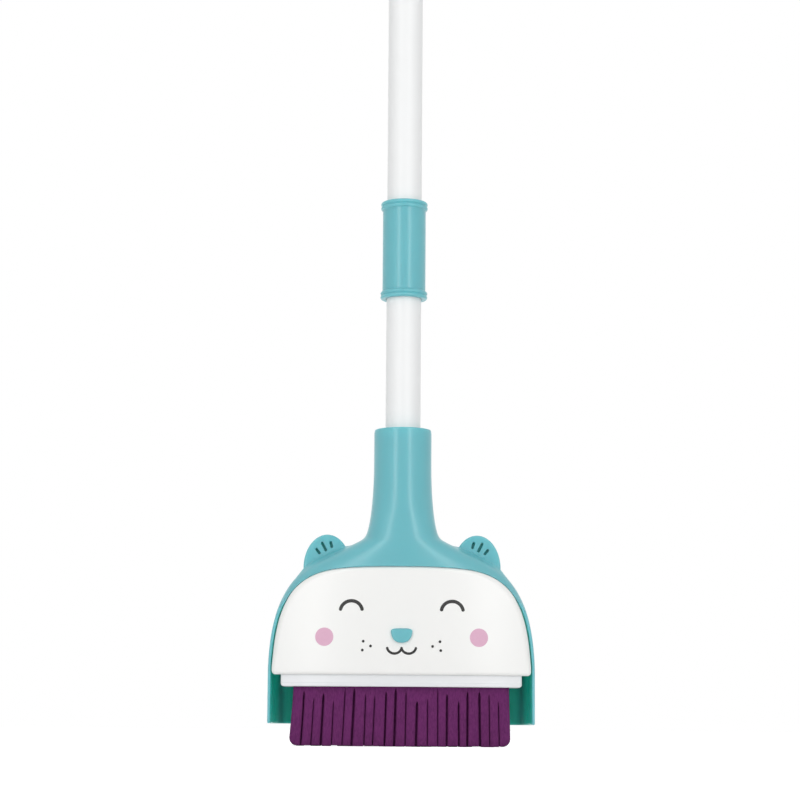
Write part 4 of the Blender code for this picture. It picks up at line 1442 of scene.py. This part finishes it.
@dataclass
class Face:
    """The white bowed face shell, its nose and its printed features."""

    wall: float = 2.2
    edge: float = 3.4
    foot_edge: float = 2.0
    foot_corner: float = 2.6
    draft: float = 2.5
    nose_width: float = 13.2
    nose_height: float = 8.8
    nose_proud: float = 2.4
    nose_level: float = 67.4
    nose_bulge: float = 0.25
    nose_corners: Point = (0.5, 0.8)
    nose_bevel: float = 1.7
    ink: float = 0.1
    eye_spread: float = 31.0
    eye_level: float = 82.0
    eye_width: float = 13.5
    eye_height: float = 6.5
    eye_line: float = 2.1
    cheek_spread: float = 47.5
    cheek_level: float = 66.5
    cheek_radius: float = 5.6
    mouth_width: float = 9.0
    mouth_drop: float = 4.2
    mouth_line: float = 1.5
    mouth_gap: float = 2.4
    mouth_lap: float = 0.97
    whisker_radius: float = 0.85
    whisker_drop: float = 4.0
    whiskers: tuple[Point, ...] = ((19.0, -2.5), (23.5, 0.4), (24.0, -5.0))
    arc: Point = (168.0, 12.0)
    arc_points: int = 33
    oval_points: int = 41
    end_points: int = 9
    ink_sink: float = 0.02
    ink_weld: float = 0.001
    ink_sharp: float = 40.0
    edge_zone: float = 14.0
    inner_edge: float = 1.2
    rear_edge: float = 0.6
    foot_opening: float = 12.0
    grid: float = 0.6
    grid_room: float = 2.0
    grid_front: float = 1.5
    faces: int = 50_000
    nose_sides: int = 96
    nose_sink: float = 0.05
    nose_crown: float = 0.012
    nose_edge: float = 0.9
    nose_bevel_edge: float = 0.3
    nose_seat_edge: float = 0.2
    nose_grid: float = 0.2
    nose_room: Point = (1.0, 1.5)
    nose_faces: int = 9_000

    def shell(self) -> bpy.types.Object:
        """Cut the shell: round front edge, drafted sides, hollow and open at the foot.

        Returns:
            The object.
        """
        back = LINES.block_back
        spare = self.grid_room
        low = (0, LINES.face_front - self.grid_front, LINES.face_bottom - spare)
        high = (LINES.face_half + spare, back + LINES.bow(LINES.face_half) + spare, LINES.face_top + spare)
        mould = Mould(low, high, self.grid)
        x, z = mould.x, mould.z
        deep = mould.y - LINES.bow(x)
        edge = mix(self.foot_edge, self.edge, ease((z - LINES.face_bottom) / self.edge_zone))
        tuck = self.draft * np.clip((deep - LINES.face_front - self.edge) / (back - LINES.face_front), 0, 1)
        dome = LINES.dome(LINES.face_half, LINES.face_bottom, LINES.face_top, self.foot_corner)
        flat = outline_distance(dome, x, z) + tuck
        field = np.maximum(rounded(flat, LINES.face_front - deep, edge), deep - back)
        below = LINES.face_bottom - self.foot_opening
        room = LINES.dome(LINES.face_half, below, LINES.face_top, LINES.corner)
        flat = outline_distance(room, x, z) + tuck + self.wall
        hollow = rounded(flat, LINES.face_front + self.wall - deep, self.inner_edge)
        return mould.piece("face", soft_max(field, -hollow, self.rear_edge), self.faces)

    def nose(self) -> bpy.types.Object:
        """Cut the nose: a button with a flat bevelled top, a round chin and a crowned front.

        Returns:
            The object.
        """
        turns = np.radians(np.linspace(0, 360, self.nose_sides, endpoint=False))
        outline = []
        for turn in turns:
            across, up = math.cos(turn), math.sin(turn)
            power = self.nose_corners[0] if up > 0 else self.nose_corners[1]
            rise = up * self.nose_bulge if up > 0 else up
            level = (rise + (1 - self.nose_bulge) / 2) / (1 + self.nose_bulge)
            wide = self.nose_width / 2 * math.copysign(abs(across) ** power, across)
            outline.append((wide, self.nose_level + self.nose_height * level))
        seat, tip = LINES.face_front + self.nose_sink, LINES.face_front - self.nose_proud
        spare, above = self.nose_room
        reach = self.nose_height / 2 + above
        low = (0, tip - spare, self.nose_level - reach)
        high = (self.nose_width / 2 + spare, seat + spare, self.nose_level + reach)
        mould = Mould(low, high, self.nose_grid)
        crown = self.nose_crown * (mould.x**2 + (mould.z - self.nose_level) ** 2)
        flat = outline_distance(outline, mould.x, mould.z)
        field = rounded(flat, tip + crown - mould.y, self.nose_edge)
        bevel_foot = self.nose_level + self.nose_height / 2 - self.nose_bevel
        bevel = (mould.z - bevel_foot - (mould.y - tip)) * math.sqrt(0.5)
        field = soft_max(field, bevel, self.nose_bevel_edge)
        field = soft_max(field, mould.y - seat, self.nose_seat_edge)
        return mould.piece("nose_button", field, self.nose_faces)

    def on_face(self, name: str, shapes: Sequence[tuple[Array, Array]]) -> bpy.types.Object:
        """Lay flat shapes on the bowed face as thin closed films.

        Args:
            name: The piece's name.
            shapes: For each, two rows of (x, z) points that a film is spun between.

        Returns:
            The object.
        """
        points, faces = [], []
        for one, other in shapes:
            count, first = len(one), len(points)
            for lift in (self.ink, -self.ink_sink):
                for x, z in np.concatenate((one, other)):
                    points.append((x, LINES.face_front + LINES.bow(x) - lift, z))
            for i in range(count - 1):
                front = (first + i, first + i + 1, first + count + i + 1, first + count + i)
                rear = tuple(2 * count + corner for corner in reversed(front))
                faces += [front, rear]
            ring = [first + i for i in range(count)] + [first + 2 * count - 1 - i for i in range(count)]
            for a, b in zip(ring, ring[1:] + ring[:1]):
                faces.append((b, a, 2 * count + a, 2 * count + b))
        piece = mesh_of(name, np.array(points), np.array(faces))
        return welded(piece, self.ink_weld, self.ink_sharp)

    def oval(self, x: float, z: float, wide: float, high: float) -> tuple[Array, Array]:
        """An oval as an upper and a lower row of points.

        Args:
            x: Its middle, across.
            z: Its middle, up.
            wide: Half its width.
            high: Half its height.

        Returns:
            The two rows.
        """
        turns = np.radians(np.linspace(180, 0, self.oval_points))
        upper = np.stack((x + wide * np.cos(turns), z + high * np.sin(turns)), axis=1)
        return upper, upper * (1, -1) + (0, 2 * z)

    def stroke(self, line: Array, width: float) -> tuple[Array, Array]:
        """A line with round ends as two rows of points.

        Args:
            line: Points along its middle.
            width: Its width.

        Returns:
            The rows on its two sides.
        """
        along = np.gradient(line, axis=0)
        along /= np.linalg.norm(along, axis=1)[:, None]
        aside = np.stack((-along[:, 1], along[:, 0]), axis=1)
        turns = np.radians(np.linspace(0, 90, self.end_points))
        rows = []
        for side in (1, -1):
            start = [
                line[0] + width / 2 * (side * math.sin(t) * aside[0] - math.cos(t) * along[0])
                for t in turns
            ]
            end = [
                line[-1] + width / 2 * (side * math.cos(t) * aside[-1] + math.sin(t) * along[-1])
                for t in turns
            ]
            rows.append(np.concatenate((start[:-1], line + side * width / 2 * aside, end[1:])))
        return rows[0], rows[1]

    def dark_print(self) -> bpy.types.Object:
        """Closed smiling eyes, a curled mouth and whisker dots.

        Returns:
            The object.
        """
        turns = np.radians(np.linspace(*self.arc, self.arc_points))
        shapes = []
        for side in (-1, 1):
            eye = np.stack((self.eye_width / 2 * np.cos(turns), self.eye_height * np.sin(turns)), axis=1)
            shapes.append(self.stroke(eye + (side * self.eye_spread, self.eye_level), self.eye_line))
            curl = np.stack((self.mouth_width / 2 * np.cos(turns), -self.mouth_drop * np.sin(turns)), axis=1)
            low = self.nose_level - self.nose_height / 2 - self.mouth_gap
            middle = side * self.mouth_width / 2 * self.mouth_lap
            shapes.append(self.stroke(curl + (middle, low), self.mouth_line))
            for across, up in self.whiskers:
                dot = (side * across, self.nose_level - self.whisker_drop + up)
                shapes.append(self.oval(*dot, self.whisker_radius, self.whisker_radius))
        return self.on_face("face_lines", shapes)

    def pink_print(self) -> bpy.types.Object:
        """Round cheeks outside the eyes.

        Returns:
            The object.
        """
        cheeks = [
            self.oval(side * self.cheek_spread, self.cheek_level, self.cheek_radius, self.cheek_radius)
            for side in (-1, 1)
        ]
        return self.on_face("face_cheeks", cheeks)

    def dress(self) -> None:
        """Build the face's pieces and dress them."""
        dress(self.shell(), WHITE_ABS, Body.BRUSH, ["face_shell"])
        dress(self.nose(), TEAL_ABS, Body.BRUSH, ["nose"])
        dress(self.dark_print(), BLACK_INK, Body.BRUSH)
        dress(self.pink_print(), PINK_INK, Body.BRUSH)


@dataclass
class Block:
    """The white bar that grips the fringe, with a thin lip along its lower edge."""

    half: float = 74.3
    front: float = -17.5
    bottom: float = 36.3
    top: float = 56.6
    lip_height: float = 2.0
    lip_proud: float = 0.6
    end_corner: float = 2.0
    slot_half: float = 66.8
    slot_front: float = -14.5
    slot_back: float = 2.8
    slot_top: float = 54.6
    edge: float = 0.7
    slot_edge: float = 0.6
    grid: float = 0.5
    grid_room: float = 1.5
    bow_room: float = 12.0
    faces: int = 30_000

    def build(self) -> bpy.types.Object:
        """Cut the bar and its slot.

        Returns:
            The object.
        """
        lip = self.front - self.lip_proud
        back = LINES.block_back
        spare = self.grid_room
        low = (0, lip - spare, self.bottom - spare)
        mould = Mould(low, (self.half + spare, back + self.bow_room, self.top + spare), self.grid)
        deep = mould.y - LINES.bow(mould.x)
        step = self.bottom + self.lip_height
        section = [
            (lip, self.bottom),
            (lip, step),
            (self.front, step + self.lip_proud),
            (self.front, self.top),
            (back, self.top),
            (back, self.bottom),
        ]
        field = rounded(outline_distance(section, deep, mould.z), mould.x - self.half, self.edge)
        field = np.maximum(field, rounded(mould.x - self.half, self.bottom - mould.z, self.end_corner))
        middle = (self.slot_front + self.slot_back) / 2
        slot = np.maximum(np.abs(deep - middle) - (self.slot_back - middle), mould.x - self.slot_half)
        field = soft_max(field, -np.maximum(slot, mould.z - self.slot_top), self.slot_edge)
        return mould.piece("fringe_block", field, self.faces)

    def dress(self) -> None:
        """Build the bar and dress it."""
        # Painted shade: the bar's white is greyer for the shade under the face.
        dress(self.build(), SHADED_WHITE_ABS, Body.BRUSH, ["brush_block"])


@dataclass
class Cover:
    """The white rear cover with the two channels that ride the hood's rails."""

    inset: float = 3.0
    bottom: float = 44.4
    channel_floor: float = 62.3
    channel_length: float = 28.0
    channel_wall: float = 2.0
    channel_room: float = 1.9
    channel_reach: float = 6.0
    channel_fillet: float = 1.4
    channel_edge: float = 0.5
    corner: float = 1.5
    edge: float = 0.6
    grid: float = 0.55
    grid_room: float = 1.5
    faces: int = 30_000

    def build(self) -> bpy.types.Object:
        """Cut the plate and its channels.

        Returns:
            The object.
        """
        half = LINES.face_half - self.inset
        rail_back = LINES.cover_back + LINES.bow(LINES.rail_spread + LINES.rail_thickness)
        end = rail_back + self.channel_reach
        spare = self.grid_room
        low = (0, LINES.cover_front - spare, self.bottom - spare)
        high = (half + spare, LINES.cover_back + LINES.bow(half) + spare, LINES.face_top)
        mould = Mould(low, high, self.grid)
        x, y, z = mould.x, mould.y, mould.z
        plate = (LINES.cover_back - LINES.cover_front) / 2
        dome = LINES.dome(half, self.bottom, LINES.face_top - self.inset, self.corner)
        flat = outline_distance(dome, x, z)
        field = rounded(flat, np.abs(y - LINES.bow(x) - LINES.cover_front - plate) - plate, self.edge)
        aside = np.abs(x - LINES.rail_spread)
        root = LINES.cover_front + plate + LINES.bow(LINES.rail_spread)
        top = self.channel_floor + self.channel_length
        outer = np.maximum(aside - self.channel_room - self.channel_wall, np.maximum(root - y, y - end))
        outer = np.maximum(outer, np.maximum(self.channel_floor - self.channel_wall - z, z - top))
        inner = np.maximum(aside - self.channel_room, np.maximum(rail_back - y, self.channel_floor - z))
        field = soft_max(soft_min(field, outer, self.channel_fillet), -inner, self.channel_edge)
        return mould.piece("back_cover", field, self.faces)

    def dress(self) -> None:
        """Build the cover and dress it."""
        dress(self.build(), WHITE_ABS, Body.BRUSH, ["rear_cover"])


@dataclass
class Fringe:
    """Five layers of thick purple felt, slit into strips that part and curl a little."""

    layers: int = 5
    strips: int = 21
    width: float = 133.0
    drop: float = 36.3
    top: float = 54.3
    flare: float = 1.5
    sway: float = -0.7
    felt: float = 3.1
    pitch: float = 3.4
    front: float = -14.2
    end_corner: float = 4.6
    loose: float = 22.0
    gaps: tuple[Point, Point] = ((0.35, 0.55), (0.95, 1.35))
    slit_end: float = 3.0
    slit_power: float = 0.5
    slit_levels: tuple[int, int] = (13, 19)
    slit_stray: float = 0.5
    lean_stray: float = 0.35
    open_zone: float = 5.0
    hang_power: float = 1.3
    pushes: Point = (-0.3, 0.12)
    bellies: Point = (-0.15, 0.15)
    twists: Point = (-0.35, 0.35)
    lifts: Point = (0, 0.7)
    least_half: float = 0.3
    weld: float = 0.002
    sharp: float = 60.0
    seed: int = 41
    edge_tuck: float = 0.85
    edge_curve: tuple[float, ...] = (1, 0.5, 0.12, 0, 0, 0, 0, 0, 0)
    foot_levels: tuple[float, ...] = (0, 0.4, 1.0, 2.2, 4.5)
    foot_tucks: tuple[float, ...] = (1.25, 0.95, 0.6, 0.22, 0)
    columns: tuple[float, ...] = (0, 0.04, 0.12, 0.3, 0.5, 0.7, 0.88, 0.96, 1)
    levels: tuple[float, ...] = (
        *(0, 0.4, 1.0, 2.2, 4.5, 7.5, 11, 14.5, 18, 21.5, 23.5),
        *(25, 26.5, 28, 29.5, 31, 32.5, 34, 35.3, 38, 46, 54.3),
    )

    def slits(self, layer: int, dice: np.random.Generator) -> list[dict[str, float]]:
        """Where each slit lies, how high it starts, how far it opens and how it leans.

        Args:
            layer: The layer's number from the front.
            dice: The layer's random source.

        Returns:
            One entry for each slit, between entries for the two ends.
        """
        pitch = self.width / self.strips
        half = self.width / 2
        shift = pitch / 2 if layer % 2 else pitch
        tops = self.levels[slice(*self.slit_levels)]
        made = [{"x": -half, "top": self.top, "gap": 0.0, "lean": -self.flare}]
        place = -half + shift
        while place < half - pitch / 4:
            made.append(
                {
                    "x": place + dice.uniform(-self.slit_stray, self.slit_stray),
                    "top": float(dice.choice(tops)),
                    "gap": dice.uniform(*self.gaps[int(dice.integers(2))]),
                    "lean": self.flare * place / half + dice.uniform(-self.lean_stray, self.lean_stray),
                }
            )
            place += pitch
        made.append({"x": half, "top": self.top, "gap": 0.0, "lean": self.flare})
        return made

    def build(self, layer: int) -> bpy.types.Object:
        """Make one layer as a closed comb.

        Args:
            layer: The layer's number from the front.

        Returns:
            The object.
        """
        dice = np.random.default_rng(self.seed + layer)
        slits = self.slits(layer, dice)
        levels, columns = np.array(self.levels), np.array(self.columns)
        rows, across = len(levels), len(columns)
        fall = np.clip(1 - levels / self.loose, 0, 1)
        hang = np.clip(1 - levels / self.drop, 0, 1)
        edge_curve = np.array(self.edge_curve)
        foot_curve = np.interp(levels, self.foot_levels, self.foot_tucks)
        points, faces = [], []
        for left, right in zip(slits, slits[1:]):
            opens = [
                ease((s["top"] - levels) / self.open_zone) if s["top"] < self.top else np.ones(rows)
                for s in (left, right)
            ]
            lines, sides = [], []
            for s, sign in ((left, 1), (right, -1)):
                open_share = np.clip((s["top"] - levels) / self.slit_end, 0, 1)
                gap = s["gap"] / 2 * open_share**self.slit_power
                lines.append(s["x"] + (s["lean"] + self.sway) * hang**self.hang_power)
                sides.append(lines[-1] + sign * gap)
            x = mix(sides[0][:, None], sides[1][:, None], columns[None, :])
            foot = mix(lines[0][0], lines[1][0], columns)
            edge = np.maximum(edge_curve * opens[0][:, None], edge_curve[::-1] * opens[1][:, None])
            tuck = self.edge_tuck * edge + foot_curve[:, None]
            push = dice.uniform(*self.pushes) * fall**2 + dice.uniform(*self.bellies) * np.sin(math.pi * fall)
            twist = dice.uniform(*self.twists) * fall
            lift = dice.uniform(*self.lifts) * fall
            beyond = np.maximum(self.end_corner - (self.width / 2 + self.flare - np.abs(foot - self.sway)), 0)
            beyond = np.minimum(beyond, self.end_corner)
            corner = self.end_corner - np.sqrt(self.end_corner**2 - beyond**2)
            z = levels[:, None] + lift[:, None] + corner[None, :] * hang[:, None]
            curl = push[:, None] + twist[:, None] * (columns[None, :] - 0.5)
            middle = self.front + layer * self.pitch + self.felt / 2 + LINES.bow(x) + curl
            first = len(points)
            for sign in (-1, 1):
                y = middle + sign * (self.felt / 2 - np.minimum(tuck, self.felt / 2 - self.least_half))
                points.extend(np.stack((x, y, z), axis=2).reshape(-1, 3))
            faces.extend(self.strip_faces(first, rows, across, levels, (left["top"], right["top"])))
        piece = mesh_of(f"felt_layer_{layer + 1}", np.array(points), np.array(faces))
        return welded(piece, self.weld, self.sharp)

    def strip_faces(
        self, first: int, rows: int, across: int, levels: Array, tops: Point
    ) -> list[tuple[int, int, int, int]]:
        """Faces of one strip: front, back, ends, and side walls as high as its slits.

        Args:
            first: Number of the strip's first point.
            rows: Points up the strip.
            across: Points across it.
            levels: Height of each row.
            tops: Where its left and right slits start.

        Returns:
            Quads as point numbers.
        """
        rear = first + rows * across

        def at(start: int, row: int, column: int) -> int:
            """Number of the point at a row and column."""
            return start + row * across + column

        faces = []
        for row in range(rows - 1):
            for column in range(across - 1):
                ring = [(row, column), (row, column + 1), (row + 1, column + 1), (row + 1, column)]
                faces.append(tuple(at(first, *corner) for corner in ring))
                faces.append(tuple(at(rear, *corner) for corner in reversed(ring)))
            for column, top in ((0, tops[0]), (across - 1, tops[1])):
                if levels[row] < top:
                    faces.append(
                        (
                            at(first, row, column),
                            at(first, row + 1, column),
                            at(rear, row + 1, column),
                            at(rear, row, column),
                        )
                    )
        for row in (0, rows - 1):
            for column in range(across - 1):
                faces.append(
                    (
                        at(first, row, column),
                        at(rear, row, column),
                        at(rear, row, column + 1),
                        at(first, row, column + 1),
                    )
                )
        return faces

    def dress(self) -> None:
        """Build each layer and dress it."""
        for layer in range(self.layers):
            dress(self.build(layer), PURPLE_FELT, Body.BRUSH, [f"fringe_layer_{layer + 1}"])


# ---------------------------------------------------------------- handle


@dataclass
class Handle:
    """Two white tubes, the teal coupling sleeve between them and the teal cap on top."""

    radius: float = 11.0
    bore: float = 9.8
    chamfer: float = 0.4
    lower: Point = (137.0, 309.9)
    upper: Point = (313.5, 600.2)
    sleeve: Point = (280.3, 343.1)
    sleeve_radius: float = 13.65
    sleeve_bore: float = 11.3
    stop_bore: float = 9.1
    stop_height: float = 3.0
    bead_height: float = 2.5
    bead_proud: float = 1.25
    screw_level: float = 295.45
    screw_seat: float = 12.675
    screw_head: float = 3.3
    flange_radius: float = 11.6
    flange: Point = (600.5, 604.5)
    spigot_radius: float = 9.5
    spigot_bottom: float = 586.2
    spigot_wall: float = 2.0
    tab_radius: float = 9.5
    tab_half: float = 4.5
    hole_level: float = 611.0
    hole_radius: float = 4.5
    hole_edge: float = 1.8
    tab_root: float = 1.5
    tab_edge: float = 1.6
    tab_fillet: float = 2.4
    flange_edge: float = 1.0
    spigot_lap: float = 1.0
    spigot_edge: float = 0.5
    bead_rings: Point = (0.5, 1.5)
    bead_points: int = 13
    seat_edge: float = 0.5
    tube_sharp: float = 35.0
    grid_room: float = 1.2
    sleeve_grid: float = 0.38
    sleeve_faces: int = 46_000
    cap_grid: float = 0.4
    cap_faces: int = 26_000

    def tube(self, name: str, ends: Point) -> bpy.types.Object:
        """Turn one tube with broken edges.

        Args:
            name: Its name.
            ends: Height of its two ends.

        Returns:
            The object.
        """
        low, high = ends
        c = self.chamfer
        profile = [
            (self.bore, low + c),
            (self.bore + c, low),
            (self.radius - c, low),
            (self.radius, low + c),
            (self.radius, high - c),
            (self.radius - c, high),
            (self.bore + c, high),
            (self.bore, high - c),
        ]
        turns = np.arange(TURNED_SIDES) * 2 * math.pi / TURNED_SIDES
        points = [(r * math.cos(t), r * math.sin(t), z) for t in turns for r, z in profile]
        count = len(profile)
        faces = []
        for i in range(TURNED_SIDES):
            here, there = i * count, (i + 1) % TURNED_SIDES * count
            for a in range(count):
                b = (a + 1) % count
                faces.append((here + a, there + a, there + b, here + b))
        piece = mesh_of(name, np.array(points), np.array(faces))
        piece.data.set_sharp_from_angle(angle=math.radians(self.tube_sharp))
        return piece

    def coupling(self) -> bpy.types.Object:
        """Cut the sleeve with two round beads at each end and its screw's seat.

        Returns:
            The object.
        """
        low, high = self.sleeve
        middle = (low + high) / 2
        stop = self.stop_height / 2
        turns = np.radians(np.linspace(-90, 90, self.bead_points))
        beads = []
        for end, up in ((low, 1), (high, -1)):
            rings = []
            for ring in self.bead_rings:
                centre = end + up * ring * self.bead_height
                for t in turns:
                    out = self.sleeve_radius + self.bead_proud * math.cos(t)
                    rings.append((out, centre + up * self.bead_height / 2 * math.sin(t)))
            beads.append(rings)
        outline = beads[0] + beads[1][::-1]
        outline += [
            (self.sleeve_bore, high),
            (self.sleeve_bore, middle + stop),
            (self.stop_bore, middle + stop),
            (self.stop_bore, middle - stop),
            (self.sleeve_bore, middle - stop),
            (self.sleeve_bore, low),
        ]
        spare = self.grid_room
        reach = self.sleeve_radius + self.bead_proud + spare
        mould = Mould((0, -reach, low - spare), (reach, reach, high + spare), self.sleeve_grid)
        field = mould.turned(outline)
        around = np.hypot(mould.x, mould.z - self.screw_level)
        seat = np.maximum(around - self.screw_head, self.screw_seat - mould.y)
        return mould.piece("sleeve", soft_max(field, -seat, self.seat_edge), self.sleeve_faces)

    def cap(self) -> bpy.types.Object:
        """Cut the cap: spigot, round-edged flange and a tab with a hanging hole.

        Returns:
            The object.
        """
        spare = self.grid_room
        reach = self.flange_radius + spare
        top = self.hole_level + self.tab_radius
        mould = Mould((0, -reach, self.spigot_bottom - spare), (reach, reach, top + spare), self.cap_grid)
        x, y, z = mould.x, mould.y, mould.z
        radius = np.hypot(x, y)
        low, high = self.flange
        along = np.abs(z - (low + high) / 2) - (high - low) / 2
        field = rounded(radius - self.flange_radius, along, self.flange_edge)
        up = z - self.hole_level
        flat = np.where(up > 0, np.hypot(x, up), np.abs(x)) - self.tab_radius
        tab = rounded(flat, np.abs(y) - self.tab_half, self.tab_edge)
        field = soft_min(field, np.maximum(tab, low + self.tab_root - z), self.tab_fillet)
        ends = np.maximum(self.spigot_bottom - z, z - low - self.spigot_lap)
        field = np.minimum(field, np.maximum(radius - self.spigot_radius, ends))
        field = soft_max(field, -(np.hypot(x, up) - self.hole_radius), self.hole_edge)
        bore = np.maximum(radius - self.spigot_radius + self.spigot_wall, z - low)
        return mould.piece("top_cap", soft_max(field, -bore, self.spigot_edge), self.cap_faces)

    def dress(self) -> None:
        """Build the handle's pieces and dress them."""
        low = self.tube("handle_tube_low", self.lower)
        dress(low, TUBE_PP, Body.HEAD, ["lower_tube"])
        dress(self.coupling(), TEAL_ABS, Body.HEAD, ["coupling_sleeve"])
        high = self.tube("handle_tube_high", self.upper)
        dress(high, TUBE_PP, Body.UPPER_HANDLE, ["upper_tube"])
        dress(self.cap(), TEAL_ABS, Body.UPPER_HANDLE, ["end_cap"])


@dataclass
class Screws:
    """Pan-head screws with a cross recess, each in place of its CAD node."""

    shank_radius: float = 1.5
    head_radius: float = 3.0
    head_height: float = 1.5
    recess_reach: float = 1.9
    recess_half: float = 0.42
    recess_depth: float = 1.0
    recess_slope: float = 0.35
    recess_edge: float = 0.25
    thread_pitch: float = 1.3
    thread_depth: float = 0.25
    tip_radius: float = 0.3
    tip_slope: float = 0.7
    head_edge: float = 0.6
    head_fillet: float = 0.3
    grid: float = 0.2
    grid_room: float = 0.8
    faces: int = 12_000

    def build(self, node: str) -> bpy.types.Object:
        """Cut one screw along Y, its head to the back, and set it where its node is.

        Args:
            node: The CAD node.

        Returns:
            The object.
        """
        low, high = (np.array(corner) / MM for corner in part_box(node))
        length = high[1] - low[1] - self.head_height
        spare = self.grid_room
        reach = self.head_radius + spare
        mould = Mould((0, -length - spare, -reach), (reach, self.head_height + spare, reach), self.grid)
        x, y, z = mould.x, mould.y, mould.z
        radius = np.hypot(x, z)
        half = self.head_height / 2
        head = rounded(radius - self.head_radius, np.abs(y - half) - half, self.head_edge)
        turn = np.arctan2(z, x)
        thread = np.cos(2 * math.pi * y / self.thread_pitch - turn * np.sign(x + TINY))
        shank = radius - self.shank_radius + self.thread_depth * (0.5 - 0.5 * thread)
        point = radius - self.tip_radius - (length + y) * self.tip_slope
        shank = np.maximum(shank, np.maximum(point, np.maximum(-length - y, y - half)))
        field = soft_min(head, shank, self.head_fillet)
        slope = np.maximum(y - self.head_height + self.recess_depth, 0) * self.recess_slope
        for one, other in ((x, z), (z, x)):
            arm = np.maximum(
                np.abs(one) - self.recess_reach - slope, np.abs(other) - self.recess_half - slope / 2
            )
            recess = np.maximum(arm, self.head_height - self.recess_depth - y)
            field = soft_max(field, -recess, self.recess_edge)
        piece = mould.piece(f"{node}_screw", field, self.faces)
        middle = (low + high) / 2
        place = (middle[0] * MM, (high[1] - self.head_height) * MM, middle[2] * MM)
        piece.data.transform(Matrix.Translation(place))
        return piece

    def dress(self) -> None:
        """Build each screw and dress it, and give the washer behind the nose its finish."""
        for body, nodes in (
            (Body.HEAD, ("neck_screw", "sleeve_screw")),
            (Body.BRUSH, ("block_screw_1", "block_screw_2", "block_screw_3", "face_screw_1", "face_screw_2")),
        ):
            for node in nodes:
                dress(self.build(node), SCREW_ZINC, body, [node])
        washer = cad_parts["nose_retainer"]
        washer.data.materials.clear()
        washer.data.materials.append(SCREW_ZINC.material())
        LOG.info("nose_retainer: CAD solid, %s", SCREW_ZINC.name)


# ---------------------------------------------------------------- studio


@dataclass
class Studio:
    """White paper floor, even white light, strip lamps and panels, and the photograph's camera."""

    floor_half: float = 4.0
    front_light: float = 0.25
    back_light: float = 0.9
    top_light: float = 0.8
    top_start: float = 0.1
    back_start: float = -0.2
    lamp_distance: float = 1.35
    lamp_height: float = 1.7
    lamp_middle: float = 0.45
    strip: Triple = (28.0, 0.12, 5.6)
    panel: Triple = (41.0, 0.62, 1.4)
    lens: float = 99.0
    sensor: float = 36.0
    camera_place: Triple = (-0.0020, -1.373, 0.0132)
    camera_rise: float = 8.403
    camera_roll: float = 0.4

    def floor(self) -> None:
        """Lay the paper."""
        reach = self.floor_half / MM
        corners = [(-reach, -reach, 0), (reach, -reach, 0), (reach, reach, 0), (-reach, reach, 0)]
        paper = mesh_of("paper_floor", np.array(corners), np.array([(0, 1, 2, 3)]))
        paper.data.materials.append(PaperSweep("white studio paper").material())

    def world(self) -> None:
        """Light evenly from all sides, white to the camera."""
        world = bpy.data.worlds.new("studio white")
        world.use_nodes = True
        tree = world.node_tree
        tree.nodes.clear()
        way = add_node(tree, "ShaderNodeTexCoord", {}, {}).outputs["Generated"]
        parts = add_node(tree, "ShaderNodeSeparateXYZ", {}, {"Vector": way}).outputs
        around, above = (
            add_node(
                tree,
                "ShaderNodeMapRange",
                {},
                {"Value": parts[axis], "From Min": start, "To Min": self.front_light, "To Max": level},
            ).outputs["Result"]
            for axis, start, level in (
                ("Y", self.back_start, self.back_light),
                ("Z", self.top_start, self.top_light),
            )
        )
        ring = add_node(
            tree, "ShaderNodeMath", {"operation": "MAXIMUM"}, {"Value": around, "Value_001": above}
        )
        level = add_node(
            tree,
            "ShaderNodeMapRange",
            {},
            {"Value": seen_ray(tree), "To Min": ring.outputs["Value"], "To Max": 1.0},
        )
        light = add_node(
            tree,
            "ShaderNodeBackground",
            {},
            {"Color": linear("#ffffff"), "Strength": level.outputs["Result"]},
        )
        add_node(tree, "ShaderNodeOutputWorld", {}, {"Surface": light.outputs["Background"]})
        bpy.context.scene.world = world

    def lamps(self) -> None:
        """Stand a tall strip lamp and a wide dim panel to each side of the camera."""
        for kind, (angle, width, power) in (("strip_lamp", self.strip), ("panel_lamp", self.panel)):
            for side, word in ((-1, "left"), (1, "right")):
                turn = math.radians(side * angle)
                data = bpy.data.lights.new(f"{kind}_{word}", "AREA")
                data.shape = "RECTANGLE"
                data.size = width
                data.size_y = self.lamp_height
                data.energy = power
                lamp = bpy.data.objects.new(data.name, data)
                lamp.location = (
                    self.lamp_distance * math.sin(turn),
                    -self.lamp_distance * math.cos(turn),
                    self.lamp_middle,
                )
                lamp.rotation_euler = Euler((math.radians(90), 0, turn))
                bpy.context.scene.collection.objects.link(lamp)

    def camera(self) -> None:
        """Set the photograph's camera."""
        data = bpy.data.cameras.new("photo_camera")
        data.lens = self.lens
        data.sensor_width = self.sensor
        camera = bpy.data.objects.new("photo_camera", data)
        rise = Matrix.Rotation(math.radians(90 + self.camera_rise), 4, "X")
        roll = Matrix.Rotation(math.radians(self.camera_roll), 4, "Z")
        camera.matrix_world = Matrix.Translation(self.camera_place) @ rise @ roll
        bpy.context.scene.collection.objects.link(camera)
        bpy.context.scene.camera = camera

    def build(self) -> None:
        """Set up the studio."""
        self.camera()
        self.floor()
        self.world()
        self.lamps()
        bpy.context.scene.view_settings.view_transform = "Standard"


def main() -> None:
    """Build the studio and every part of the broom, and log each piece's face count."""
    logging.basicConfig(level=logging.INFO, format="%(name)s: %(message)s")
    Studio().build()
    for part in (Hood(), Face(), Block(), Cover(), Fringe(), Handle(), Screws()):
        part.dress()


if __name__ == "__main__":
    main()
